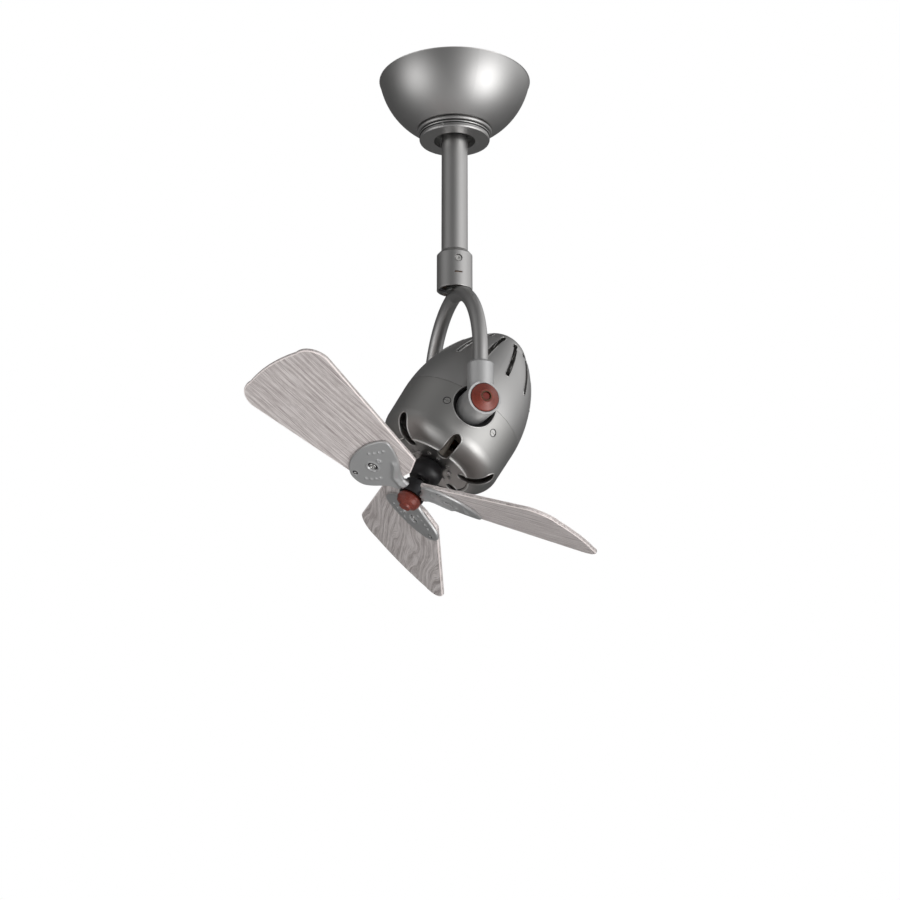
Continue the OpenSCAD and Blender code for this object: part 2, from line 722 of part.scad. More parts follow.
// Frame of the motor: a cup round the stator, with the tilt bosses and the screw posts
module motor_frame() color([0.35, 0.35, 0.36]) head_frame() difference() {
  union() {
    translate([0, 0, frame_back]) cylinder(r = frame_r, h = frame_front - frame_back);
    translate([0, 0, rear_bearing_z]) cylinder(r = bearing_r + 2.5, h = frame_back - rear_bearing_z + 1);
    for (s = [0, 1]) mirror([s, 0, 0]) at_tilt_axis() x_rod(boss_r, frame_r - 3, boss_end);
    at_house_screws() x_rod(post_r, frame_r - 2, skirt_r - skirt_t - gap);
    at_face_screws() translate([0, 0, frame_front - 1])
      cylinder(r = 3.2, h = head_front - head_wall - gap - frame_front + 1);
  }
  translate([0, 0, frame_back + frame_wall])
    cylinder(r = frame_r - frame_wall, h = frame_front - frame_back - 2 * frame_wall);
  translate([0, 0, rear_bearing_z - 1]) cylinder(r = bearing_r + run, h = bearing_w + 1);
  translate([0, 0, frame_back - 20]) cylinder(r = shaft_r + 3, h = far);
  translate([0, 0, frame_front - frame_wall - 1]) cylinder(r = stator_in_r, h = frame_wall + 2);
  for (s = [0, 1]) mirror([s, 0, 0]) at_tilt_axis() x_rod(knob_bolt_r + run, frame_r + 1, far);
  at_house_screws() x_rod(house_screw_shank_r + run, house_screw_seat - 12, far);
  at_face_screws() translate([0, 0, head_front - 10]) cylinder(r = face_screw_r + run, h = far);
}

// Laminated core of the stator with six poles
module stator_core() color([0.45, 0.45, 0.46]) head_frame() translate([0, 0, stator_back])
  linear_extrude(stator_front - stator_back) difference() {
    circle(r = stator_r, $fn = 128);
    circle(r = stator_in_r, $fn = 128);
    for (i = [0 : 5]) rotate(60 * i + 30)
      translate([stator_in_r + 1.5, -coil_w / 2 - gap]) square([coil_depth + 2 * gap, coil_w + 2 * gap]);
  }

// Six coils in the gaps between the poles
module stator_coils() color(copper) head_frame() for (i = [0 : 5]) rotate([0, 0, 60 * i + 30])
  translate([stator_in_r + 1.5 + gap, -coil_w / 2, stator_back - 3])
    cube([coil_depth, coil_w, stator_front - stator_back + 6]);

// Ball bearing, as a closed ring, with its back at z
module bearing(z) color(steel) head_frame() translate([0, 0, z]) difference() {
  cylinder(r = bearing_r, h = bearing_w);
  translate([0, 0, -1]) cylinder(r = shaft_r + run, h = bearing_w + 2);
}
module rear_bearing() bearing(rear_bearing_z);
module front_bearing() bearing(front_bearing_z);

// Shaft of the rotor
module shaft() color(steel) head_frame() translate([0, 0, shaft_back])
  cylinder(r = shaft_r, h = shaft_front - shaft_back);

// Squirrel-cage core on the shaft
module rotor_core() color([0.55, 0.55, 0.56]) head_frame() translate([0, 0, stator_back + 1])
  difference() {
    cylinder(r = stator_in_r - 0.6, h = stator_front - stator_back - 2);
    translate([0, 0, -1]) cylinder(r = shaft_r + run, h = far);
  }

// Places of the three grub screws, with X along each screw
module at_hub_screws() for (i = [0 : 2]) rotate([0, 0, blade_turn + 60 + 120 * i])
  translate([0, 0, hub_back + 2.6]) children();

// Hub on the shaft's end, which carries the three irons
module blade_hub() color(metal) head_frame() difference() {
  union() {
    translate([0, 0, hub_back]) cylinder(r = hub_r, h = hub_front - hub_back);
    translate([0, 0, hub_back - 3]) cylinder(r = shaft_r + 3, h = 4);
  }
  translate([0, 0, hub_back - 10]) cylinder(r = shaft_r + run, h = shaft_front - hub_back + 10);
  at_hub_screws() x_rod(hub_screw_r + run, 0, far);
}

// Point at share t between b and c on a smooth curve through a, b, c and d
function curve(a, b, c, d, t) =
  0.5 * (2 * b + (c - a) * t + (2 * a - 5 * b + 4 * c - d) * t * t + (3 * b - a - 3 * c + d) * t * t * t);

// Closed smooth curve through points p, with k steps from each point to the next
function smooth(p, k) = [
  for (i = [0 : len(p) - 1], j = [0 : k - 1])
    curve(p[(i + len(p) - 1) % len(p)], p[i], p[(i + 1) % len(p)], p[(i + 2) % len(p)], j / k)
];

// Outline of a blade iron's plate: a narrow neck that widens to a lopsided spade
module iron_outline() {
  stretch = (iron_l - iron_root) / (iron_line_l - iron_root);
  polygon(smooth(concat([[iron_root, -5.5]],
    [for (p = iron_line) [iron_root + (p[0] - iron_root) * stretch, p[1]]], [[iron_root, 5]]), 5));
}

// Rib that stiffens an iron's neck, as a chain of short bars that fade into the plate
module iron_rib() {
  for (k = [0 : len(iron_ridge) - 2]) {
    step = iron_ridge[k + 1] - iron_ridge[k];
    translate([iron_ridge[k][0], iron_ridge[k][1], 0]) rotate([0, 0, atan2(step[1], step[0])]) {
      translate([0, -rib_w / 2, 1]) cube([norm(step), rib_w, iron_t - 0.1]);
      translate([norm(step), 0, 1]) cylinder(r = rib_w * 0.56, h = iron_t - 0.1);
    }
  }
}

// Blade iron i: spade plate on the blade's front with a rib and small bosses
module blade_iron(i) color(metal) difference() {
  blade_frame(i) difference() {
    union() {
      linear_extrude(iron_t) iron_outline();
      translate([iron_root - 2, -5, -2]) cube([9, 10, iron_t + 3]);
      for (d = iron_dots) translate([d[0], d[1], 1]) cylinder(r = dot_r, h = iron_t + dot_h - 1);
      translate([ring_dot_x, ring_dot_y, 1]) cylinder(r = 2.1, h = iron_t + dot_h - 1);
      iron_rib();
    }
    translate([ring_dot_x, ring_dot_y, iron_t]) cylinder(r = 1.2, h = far);
    translate([blade_screw_x, blade_screw_y, -1]) cylinder(r = blade_screw_r + 0.1, h = far);
    translate([blade_screw_x, blade_screw_y, iron_t - 1.6]) cylinder(r = blade_screw_head_r + 0.6, h = far);
    translate([outer_screw_x, outer_screw_y, -1]) cylinder(r = outer_screw_r + 0.1, h = far);
  }
  head_frame() translate([0, 0, hub_back - 1]) cylinder(r = hub_r + run, h = far);
}
module blade_iron_1() blade_iron(0);
module blade_iron_2() blade_iron(1);
module blade_iron_3() blade_iron(2);

// Outline of a blade: chamfered root, straight widening sides and a tip with round corners
module blade_outline() {
  x1 = blade_tip_r - tip_corner_r;
  y1 = blade_tip_w / 2 - tip_corner_r;
  difference() {
    union() {
      polygon([
        [blade_root, -blade_chamfer_w / 2], [blade_corner, -blade_root_w / 2], [x1, -blade_tip_w / 2],
        [x1, blade_tip_w / 2], [blade_corner, blade_root_w / 2], [blade_root, blade_chamfer_w / 2]
      ]);
      for (s = [-1, 1]) translate([x1, s * y1]) circle(r = tip_corner_r, $fn = 96);
      intersection() {
        translate([blade_tip_r + tip_bulge - tip_arc_r, 0]) circle(r = tip_arc_r, $fn = 360);
        translate([x1 - 1, -y1]) square([tip_arc_r, 2 * y1]);
      }
    }
    translate([blade_screw_x, blade_screw_y]) circle(r = blade_screw_r + 0.1, $fn = 32);
    translate([outer_screw_x, outer_screw_y]) circle(r = outer_screw_r + 0.1, $fn = 32);
  }
}

// Wooden blade i, behind its iron
module blade(i) color(barnwood) blade_frame(i) translate([0, 0, -blade_t])
  linear_extrude(blade_t) blade_outline();
module blade_1() blade(0);
module blade_2() blade(1);
module blade_3() blade(2);

// Screws that join each blade to its iron: one large, one small
module blade_screws() color(steel) for (i = [0 : 2]) blade_frame(i) {
  translate([blade_screw_x, blade_screw_y, iron_t - 1.6]) cylinder(r = blade_screw_head_r, h = 1.8);
  translate([blade_screw_x, blade_screw_y, 0.5 - blade_t]) cylinder(r = blade_screw_r, h = blade_t + iron_t - 2);
  translate([outer_screw_x, outer_screw_y, iron_t]) cylinder(r = outer_screw_head_r, h = 1);
  translate([outer_screw_x, outer_screw_y, 0.5 - blade_t]) cylinder(r = outer_screw_r, h = blade_t + iron_t);
}

// Grub screws that lock the hub to the shaft
module hub_screws() color(dark) head_frame() at_hub_screws() x_rod(hub_screw_r, shaft_r + 0.1, hub_r + 0.4);

// Turned finial that caps the hub
module finial() color(mahogany) head_frame() translate([0, 0, hub_front]) rotate_extrude($fn = 96) polygon([
  [0, 0], [finial_r - 2, 0], [finial_r, 2.5], [finial_r, finial_l * 0.45], [finial_r * 0.86, finial_l * 0.7],
  [finial_r * 0.52, finial_l * 0.86], [finial_r * 0.46, finial_l], [0, finial_l]
]);

hanger_bracket();
canopy();
canopy_screws();
canopy_ring();
ring_pin();
hanger_ball();
ball_pin();
downrod();
collar();
collar_screw();
sweep_motor();
spindle_bushing();
retaining_ring();
motor_coupling();
yoke_spindle();
arm_right();
arm_left();
elbow_right();
elbow_left();
knob_right();
knob_left();
knob_ferrule_right();
knob_ferrule_left();
knob_bolt_right();
knob_bolt_left();
rear_housing();
front_housing();
shaft_boot();
housing_screws();
face_screws();
well_cup_right();
well_cup_left();
friction_disc_right();
friction_disc_left();
motor_frame();
stator_core();
stator_coils();
rear_bearing();
front_bearing();
shaft();
rotor_core();
blade_hub();
blade_iron_1();
blade_iron_2();
blade_iron_3();
blade_1();
blade_2();
blade_3();
blade_screws();
hub_screws();
finial();
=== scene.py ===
# %% [markdown]
# # Oscillating ceiling fan
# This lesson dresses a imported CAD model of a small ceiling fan: a bowl canopy, a downrod, a forked
# yoke, a bullet-shaped motor head and three wooden blades. The CAD gives every metal piece its exact
# place. Here each piece gets its finish, and a few pieces get finer shapes than a solid can carry.

# %% Load the frame
import bmesh
import bpy
import json
import numpy as np
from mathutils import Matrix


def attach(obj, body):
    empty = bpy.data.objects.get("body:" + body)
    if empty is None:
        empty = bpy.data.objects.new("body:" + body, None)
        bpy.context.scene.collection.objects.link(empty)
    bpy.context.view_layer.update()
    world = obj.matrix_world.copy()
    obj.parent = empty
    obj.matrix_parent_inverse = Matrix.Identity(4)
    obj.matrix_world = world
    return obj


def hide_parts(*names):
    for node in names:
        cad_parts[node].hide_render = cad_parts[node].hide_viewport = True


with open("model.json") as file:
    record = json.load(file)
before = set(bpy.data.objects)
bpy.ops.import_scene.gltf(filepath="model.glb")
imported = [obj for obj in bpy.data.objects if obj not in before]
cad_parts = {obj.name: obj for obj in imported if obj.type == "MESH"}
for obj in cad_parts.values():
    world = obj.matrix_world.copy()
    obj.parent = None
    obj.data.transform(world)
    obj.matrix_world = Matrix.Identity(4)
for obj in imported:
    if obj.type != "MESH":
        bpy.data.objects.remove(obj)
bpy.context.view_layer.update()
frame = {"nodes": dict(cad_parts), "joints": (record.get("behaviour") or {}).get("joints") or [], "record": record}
nodes = frame["nodes"]

# %% [markdown]
# ## Camera
# A photograph fixes its own viewpoint. This one was found by matching circles of the canopy, the rod
# and the blade tips: the camera stands to one side of the fan, a little below it, and looks up. A long
# lens keeps the arms almost parallel. The horizontal shift only centres the frame on the rod.

# %% Camera
AZIMUTH, DISTANCE, DEPTH, PITCH = np.radians(71.24), 1.780, 0.920, np.radians(16.67)
FOCAL_PX, SHIFT_PX, IMAGE_PX, SENSOR_MM = 1951.0, -4.6, 900.0, 36.0
lens = bpy.data.cameras.new("photo_camera")
lens.sensor_width = SENSOR_MM
lens.lens = FOCAL_PX / IMAGE_PX * SENSOR_MM
lens.shift_x = SHIFT_PX / IMAGE_PX
lens.dof.use_dof = False
camera = bpy.data.objects.new("photo_camera", lens)
camera.location = (np.sin(AZIMUTH) * DISTANCE, -np.cos(AZIMUTH) * DISTANCE, -DEPTH)
camera.rotation_euler = (np.pi / 2 + PITCH, 0.0, AZIMUTH)
bpy.context.scene.collection.objects.link(camera)
bpy.context.scene.camera = camera
bpy.context.scene.view_settings.view_transform = "Standard"
print("lens", round(lens.lens, 2), "mm at", [round(v, 3) for v in camera.location])

# %% [markdown]
# ## Writing shader maths as sums
# A material is a graph of nodes. Joining Math nodes by hand hides the idea behind the wiring, so a
# small class wraps one output socket and lets Python's own operators add the nodes. One more method
# makes any other node from its type, its settings and its sockets.

# %% Shader helpers
def grey(level):
    """A neutral colour in linear light."""
    return (level, level, level, 1.0)


def shade(red, green, blue):
    """A colour written as the eye reads it on a screen, 0 to 255, turned into linear light by the sRGB
    curve: a straight start, then a power of 2.4."""
    screen = np.array([red, green, blue]) / 255.0
    linear = np.where(screen <= 0.04045, screen / 12.92, ((screen + 0.055) / 1.055) ** 2.4)
    return tuple(float(v) for v in linear) + (1.0,)


class Number:
    """A value that changes over the surface. Sums on it add Math nodes."""

    def __init__(self, graph, socket):
        self.graph, self.socket = graph, socket

    def _math(self, operation, a, b):
        return self.graph.node("ShaderNodeMath", {"operation": operation}, {0: a, 1: b})

    def __add__(self, other):
        return self._math("ADD", self, other)

    def __sub__(self, other):
        return self._math("SUBTRACT", self, other)

    def __rsub__(self, other):
        return self._math("SUBTRACT", other, self)

    def __mul__(self, other):
        return self._math("MULTIPLY", self, other)

    __radd__, __rmul__ = __add__, __mul__


class Graph:
    """A node tree in which node() adds any node and gives back one of its outputs."""

    def __init__(self, tree):
        self.tree = tree

    def node(self, kind, settings=None, sockets=None, out=0):
        made = self.tree.nodes.new(kind)
        for name, value in (settings or {}).items():
            if name == "stops":
                self.set_stops(made.color_ramp.elements, value)
            else:
                setattr(made, name, value)
        for name, value in (sockets or {}).items():
            if isinstance(value, Number):
                self.tree.links.new(value.socket, made.inputs[name])
            else:
                made.inputs[name].default_value = value
        return Number(self, made.outputs[out])

    @staticmethod
    def set_stops(elements, stops):
        """Give a colour ramp its stops, each a place with a colour or a grey level."""
        while len(elements) < len(stops):
            elements.new(0.5)
        for element, (place, tone) in zip(elements, stops):
            element.position = place
            element.color = tone if isinstance(tone, tuple) else grey(tone)

    def mix(self, share, first, second):
        """The first colour where share is 0, the second where it is 1."""
        return self.node("ShaderNodeMix", {"data_type": "RGBA"}, {0: share, 6: first, 7: second}, out=2)

    def noise(self, place, scale, detail=4.0, roughness=0.5):
        """Cloudy noise round one half, with about scale clouds in a unit of place."""
        return self.node("ShaderNodeTexNoise", None, {
            "Vector": place, "Scale": scale, "Detail": detail, "Roughness": roughness})

    def wave(self, angle):
        """0.5 + 0.5 sin(angle)."""
        return self.node("ShaderNodeMath", {"operation": "SINE"}, {0: angle}) * 0.5 + 0.5

    def ramp(self, value, stops):
        return self.node("ShaderNodeValToRGB", {"stops": stops}, {0: value})


print("grey 128 on a screen is", round(shade(128, 128, 128)[0], 3), "of full light")

# %% [markdown]
# ## Room
# Satin metal only shows its form through what it mirrors, so the room matters more than the lamps. The
# backdrop is white for the camera. For mirrored rays the room is a dim studio with six soft glows: a
# strong one low on the right, a weaker one on the left, and faint ones from the wall, the floor and the
# far side. Each glow is an exponential of the angle to its middle, because satin metal would show the
# hard edge of a lamp.

# %% Room
WALL_LIGHT, AMBIENT = 0.1, 0.25
GLOWS = [  # azimuth and height in degrees, strength, focus: strength * exp(focus * (cos angle - 1))
    (127.0, -30.0, 3.5, 18.0), (6.0, -21.0, 1.6, 14.0), (194.0, 35.0, 0.75, 16.0),
    (134.0, 6.0, 1.15, 3.8), (60.0, -84.0, 0.36, 5.0), (8.0, 38.0, 0.3, 9.0)]


def toward(azimuth, height):
    """Unit vector at an azimuth and height in degrees. Azimuth 0 looks along -Y and 90 along +X."""
    turn, lift = np.radians(azimuth), np.radians(height)
    return np.array([np.sin(turn) * np.cos(lift), -np.cos(turn) * np.cos(lift), np.sin(lift)])


world = bpy.data.worlds.new("room")
bpy.context.scene.world = world
world.use_nodes = True
room = Graph(world.node_tree)
ray = room.node("ShaderNodeTexCoord", out="Generated")
mirrored = WALL_LIGHT
for azimuth, height, strength, focus in GLOWS:
    near = room.node("ShaderNodeVectorMath", {"operation": "DOT_PRODUCT"},
                     {0: ray, 1: tuple(toward(azimuth, height))}, out="Value")
    glow = room.node("ShaderNodeMath", {"operation": "EXPONENT"}, {0: (near - 1.0) * focus})
    mirrored = glow * strength + mirrored
seen = room.node("ShaderNodeLightPath", out="Is Camera Ray")
gloss = room.node("ShaderNodeLightPath", out="Is Glossy Ray")
clear = room.node("ShaderNodeLightPath", out="Is Transmission Ray")
sky = room.mix(seen, room.mix(gloss + clear, grey(AMBIENT), mirrored), grey(1.0))
world.node_tree.links.new(sky.socket, world.node_tree.nodes["Background"].inputs["Color"])
print(len(GLOWS), "glows in the mirrored room")

# %% [markdown]
# ## Lamps
# Wood and rubber mirror little, so they need plain light. Large soft lamps give it without hard shadows:
# a strong one low on the right, a weak one low on the left, one above and one behind for the far side.
# Mirrored rays don't see them, because the room's glows already stand for them there.

# %% Lamps
LAMP_AIM = np.array([0.0, 0.0, -0.3])
LAMPS = [  # name, azimuth and height in degrees, distance, watts, width, height of the lamp
    ("left_softbox", 10.0, -20.0, 2.2, 5.0, 1.1, 2.0),
    ("right_softbox", 97.0, -32.0, 2.2, 42.0, 1.5, 1.8),
    ("top_softbox", 70.0, 62.0, 2.4, 12.0, 1.6, 1.6),
    ("back_softbox", 245.0, 32.0, 2.4, 40.0, 1.6, 1.8)]

for name, azimuth, height, distance, watts, width, tall in LAMPS:
    data = bpy.data.lights.new(name, "AREA")
    data.shape, data.size, data.size_y, data.energy = "RECTANGLE", width, tall, watts
    lamp = bpy.data.objects.new(name, data)
    lamp.location = toward(azimuth, height) * distance + LAMP_AIM
    lamp.rotation_euler = (np.pi / 2 - np.radians(height), 0.0, np.radians(azimuth))
    lamp.visible_glossy = False
    bpy.context.scene.collection.objects.link(lamp)
    print(name, "at", [round(float(v), 2) for v in lamp.location])

# %% [markdown]
# ## Floor
# A pale floor under the fan sends a little light up to the blades. However far it runs, its lit colour
# would end in a grey line against the white backdrop. So the camera sees it brighter than it is: an
# emission for camera rays alone fills what the lamps leave short of white.

# %% Floor
FLOOR_DEPTH, FLOOR_HALF, FLOOR_GLOW = 2.4, 30.0, 0.78
ground = bpy.data.meshes.new("floor")
corners = FLOOR_HALF * np.array([(-1.0, -1.0), (1.0, -1.0), (1.0, 1.0), (-1.0, 1.0)])
ground.from_pydata([(x, y, -FLOOR_DEPTH) for x, y in corners], [], [(0, 1, 2, 3)])
paint = bpy.data.materials.new("pale_floor")
paint.use_nodes = True
coat = Graph(paint.node_tree)
skin = paint.node_tree.nodes["Principled BSDF"]
skin.inputs["Base Color"].default_value = shade(236, 236, 236)
skin.inputs["Roughness"].default_value = 0.8
skin.inputs["Emission Strength"].default_value = 1.0
seen = coat.node("ShaderNodeLightPath", out="Is Camera Ray")
coat.tree.links.new(coat.mix(seen, grey(0.0), grey(FLOOR_GLOW)).socket, skin.inputs["Emission Color"])
ground.materials.append(paint)
floor = bpy.data.objects.new("floor", ground)
bpy.context.scene.collection.objects.link(floor)
floor.visible_glossy = False
print("floor", 2.0 * FLOOR_HALF, "m wide,", FLOOR_DEPTH, "m under the ceiling")

# %% [markdown]
# ## Satin nickel and other metals
# The canopy, the rod, the arms and both housings are spun or drawn metal with a plated satin finish.
# A plain grey metal would look like plastic. Real plating has a soft mottled gloss, fine turning marks
# and a hair-thin bright edge, so the roughness and the bump follow two noises, and a Bevel node turns
# the normal on every sharp edge of the CAD mesh, which costs no geometry. A casting has the same form
# without the turning marks, so one function and a table of tones make all the metals.

# %% Finish class
class Finish(Graph):
    """A material. The keywords set the shader's constant sockets, with _ for a space."""

    def __init__(self, name, **constants):
        self.material = bpy.data.materials.new(name)
        self.material.use_nodes = True
        super().__init__(self.material.node_tree)
        self.shader = self.tree.nodes["Principled BSDF"]
        for socket, value in constants.items():
            self.shader.inputs[socket.replace("_", " ")].default_value = value
        self.place = self.node("ShaderNodeTexCoord", out="Object")

    def feed(self, **varying):
        """Join values that change over the surface to sockets of the shader."""
        for socket, value in varying.items():
            self.tree.links.new(value.socket, self.shader.inputs[socket.replace("_", " ")])

    def stretched(self, place, scale):
        """A place with each of its axes scaled."""
        return self.node("ShaderNodeMapping", None, {"Vector": place, "Scale": scale})

    def relief(self, height, depth, round_edge=0.0):
        """Bump of a height from 0 to 1, depth in metres, over edges rounded by round_edge."""
        sockets = {"Height": height, "Distance": depth, "Strength": 1.0}
        if round_edge:
            sockets["Normal"] = self.node("ShaderNodeBevel", {"samples": 4}, {"Radius": round_edge})
        self.feed(Normal=self.node("ShaderNodeBump", None, sockets))


# %% Metals
CLOUD_SCALE, MARK_SCALE, SMUDGE_SCALE = 28.0, 420.0, 9.0
MARK_ROUGHNESS, SMUDGE_DIM = 0.04, 0.86
TURNING, EVEN = (1.0, 1.0, 14.0), (1.0, 1.0, 1.0)
finishes = {}


def satin_metal(name, tone, roughness, mottle=0.05, grain=0.00002, edge=0.0006, stretch=TURNING,
                metallic=1.0):
    """Metal of a tone and a roughness, give or take mottle. Grain is the depth of its bump in metres."""
    made = Finish(name, Metallic=metallic)
    cloud = made.noise(made.place, CLOUD_SCALE, detail=3.0)
    marks = made.noise(made.stretched(made.place, stretch), MARK_SCALE, detail=2.0)
    smudge = made.noise(made.place, SMUDGE_SCALE, detail=5.0, roughness=0.6)
    dull = tuple(v * SMUDGE_DIM for v in tone[:3]) + (1.0,)
    least = roughness - mottle - MARK_ROUGHNESS / 2.0
    made.feed(Base_Color=made.mix(smudge, dull, tone),
              Roughness=cloud * (2.0 * mottle) + marks * MARK_ROUGHNESS + least)
    made.relief(marks * 0.6 + cloud * 0.4, grain, edge)
    return made.material


METALS = {  # screen colour, roughness, what differs from plated satin
    "satin_nickel": ((198, 197, 196), 0.4, {}),
    "face_nickel": ((190, 189, 187), 0.4, {}),
    "cast_nickel": ((196, 196, 196), 0.34, dict(mottle=0.07, grain=0.00012, stretch=EVEN, metallic=0.62)),
    "zinc_steel": ((186, 188, 186), 0.4, dict(mottle=0.08)),
    "spring_steel": ((120, 122, 128), 0.3, {}),
    "screw_steel": ((205, 204, 202), 0.24, dict(mottle=0.04, edge=0.0003)),
    "bearing_steel": ((196, 196, 198), 0.16, dict(mottle=0.03)),
    "cast_aluminium": ((182, 172, 162), 0.5, dict(mottle=0.08, grain=0.0001, stretch=EVEN, metallic=0.3)),
    "bronze": ((112, 88, 70), 0.38, dict(mottle=0.06)),
    # Lighter copies of satin nickel for the lips and beads. Their round sections catch real light, and the lighter
    # tone adds painted highlight.
    "lip_nickel": ((225, 224, 222), 0.3, dict(mottle=0.03)),
    "bright_bead": ((238, 237, 235), 0.5, dict(mottle=0.04, metallic=0.5)),
    "face_screw": ((190, 190, 190), 0.26, dict(mottle=0.04, edge=0.0002)),
    "hub_shadow": ((74, 74, 76), 0.45, dict(mottle=0.06)),
}
for name, (tone, roughness, changes) in METALS.items():
    finishes[name] = satin_metal(name, shade(*tone), roughness, **changes)
print(len(METALS), "metals")

# %% [markdown]
# ## Laminations, windings, rubber and lining
# Inside the slots a motor shows: thin steel sheets, varnished copper and a cast frame. Modelling every
# sheet and wire would take far more faces than a slot shows, so both are stripes in the finish, across
# the rotor's axis. The joints of the CAD say where that axis lies, so the stripes follow it. Rubber,
# lining and painted bolts have no pattern of their own: one fine noise gives their skin.

# %% Axis of the head
joints = {joint["name"]: joint for joint in frame["joints"]}
TILT_PLACE, SPIN_PLACE = (np.array(joints[name]["pos_m"], float) for name in ("head_tilt", "blade_spin"))
SPIN_AXIS = joints["blade_spin"]["axis"]
TILT = float(np.arctan2(-SPIN_AXIS[1], -SPIN_AXIS[2]))
print("the rotor's axis is", round(float(np.degrees(TILT)), 2), "degrees forward of straight down")

# %% Striped finishes
def striped(name, dark, light, pitch, metallic, roughness, depth):
    """Stripes 0.5 + 0.5 sin(2 pi z / pitch), where z runs forward along the rotor from the tilt axis. Fine
    grit moves the roughness by 0.1 each way."""
    made = Finish(name, Metallic=metallic)
    head = made.node("ShaderNodeMapping", {"vector_type": "TEXTURE"}, {
        "Vector": made.place, "Location": tuple(TILT_PLACE), "Rotation": (np.pi - TILT, 0.0, 0.0)})
    along = made.node("ShaderNodeSeparateXYZ", None, {0: head}, out=2)
    stripe = made.wave(along * (2.0 * np.pi / pitch))
    grit = made.noise(made.place, scale=300.0, detail=3.0)
    made.feed(Base_Color=made.mix(stripe * 0.7 + grit * 0.3, dark, light),
              Roughness=grit * 0.2 + (roughness - 0.1))
    made.relief(stripe, depth)
    return made.material


STRIPED = {  # dark and light screen colours, pitch, metallic, roughness, depth of the bump
    "laminated_steel": ((70, 70, 74), (140, 140, 144), 0.001, 0.8, 0.45, 0.0001),
    "copper_winding": ((96, 44, 20), (190, 104, 58), 0.0009, 0.7, 0.3, 0.0002),
}
for name, (dark, light, *values) in STRIPED.items():
    finishes[name] = striped(name, shade(*dark), shade(*light), *values)
print(len(STRIPED), "striped finishes")

# %% Matt finishes
def matt(name, dark, light, roughness, scale, depth, edge):
    """A dull skin whose colour and height follow one noise of a scale, with slow clouds in its gloss."""
    made = Finish(name)
    grit = made.noise(made.place, scale, detail=4.0, roughness=0.6)
    cloud = made.noise(made.place, scale=30.0, detail=2.0)
    made.feed(Base_Color=made.mix(grit * 0.5 + cloud * 0.5, dark, light),
              Roughness=grit * 0.12 + cloud * 0.1 + (roughness - 0.1))
    made.relief(grit, depth, edge)
    return made.material


MATT = {  # dark and light screen colours, roughness, scale, depth of the bump, rounded edge
    "ball_rubber": ((24, 24, 25), (40, 40, 41), 0.6, 500.0, 0.00005, 0.0004),
    "boot_black": ((22, 22, 24), (36, 35, 37), 0.3, 700.0, 0.00002, 0.0004),
    "well_black": ((18, 18, 19), (32, 32, 33), 0.6, 500.0, 0.00005, 0.0004),
    "friction_lining": ((66, 50, 38), (112, 88, 62), 0.8, 600.0, 0.0001, 0.0004),
    "red_bolt": ((84, 26, 20), (122, 42, 32), 0.3, 300.0, 0.00003, 0.0003),
}
for name, (dark, light, *values) in MATT.items():
    finishes[name] = matt(name, shade(*dark), shade(*light), *values)
print(len(finishes), "finishes so far")

# %% [markdown]
# ## Mahogany
# The knobs and the finial are turned mahogany under clear lacquer. At their size the eye sees long fine
# pores in a reddish brown more than rings, so stretched noise makes the pores, a second noise clouds
# them, and a thin clear coat over both gives the sharp highlight of lacquer.

# %% Mahogany
PORE_STRETCH, PORE_SCALE, WARP_SCALE = (1.0, 9.0, 9.0), 160.0, 45.0


def mahogany():
    """Turned wood: pores drawn out along X and a cloud choose among three browns."""
    made = Finish("mahogany", Coat_Weight=0.4, Coat_Roughness=0.12)
    warp = made.noise(made.place, WARP_SCALE, detail=3.0)
    fibres = made.noise(made.stretched(made.place, PORE_STRETCH), PORE_SCALE, detail=4.0)
    browns = [(0.3, shade(76, 27, 19)), (0.5, shade(112, 45, 33)), (0.72, shade(146, 68, 51))]
    made.feed(Base_Color=made.ramp(fibres * 0.6 + warp * 0.4, browns), Roughness=fibres * 0.15 + 0.28)
    made.relief(fibres, depth=0.00006, round_edge=0.0004)
    return made.material


finishes["mahogany"] = mahogany()
print("mahogany with", len(finishes["mahogany"].node_tree.nodes), "nodes")

# %% [markdown]
# ## Barnwood
# The blades are pale grey barnwood: long grain, a few open pores and waves where the saw met a ring. The
# grain runs along each blade, whichever way the blade points, so the finish can't read the object's own
# coordinates. It reads a UV map that every blade carries, measured in metres from the hub, and a number
# per blade that says how wavy its figure is.

# %% Barnwood
SWAY, RING_RATE, RING_WANDER = 0.048, 900.0, 6.0
WEATHERED = [(0.34, shade(128, 118, 117)), (0.44, shade(170, 161, 159)),
             (0.52, shade(204, 197, 195)), (0.66, shade(230, 224, 222))]


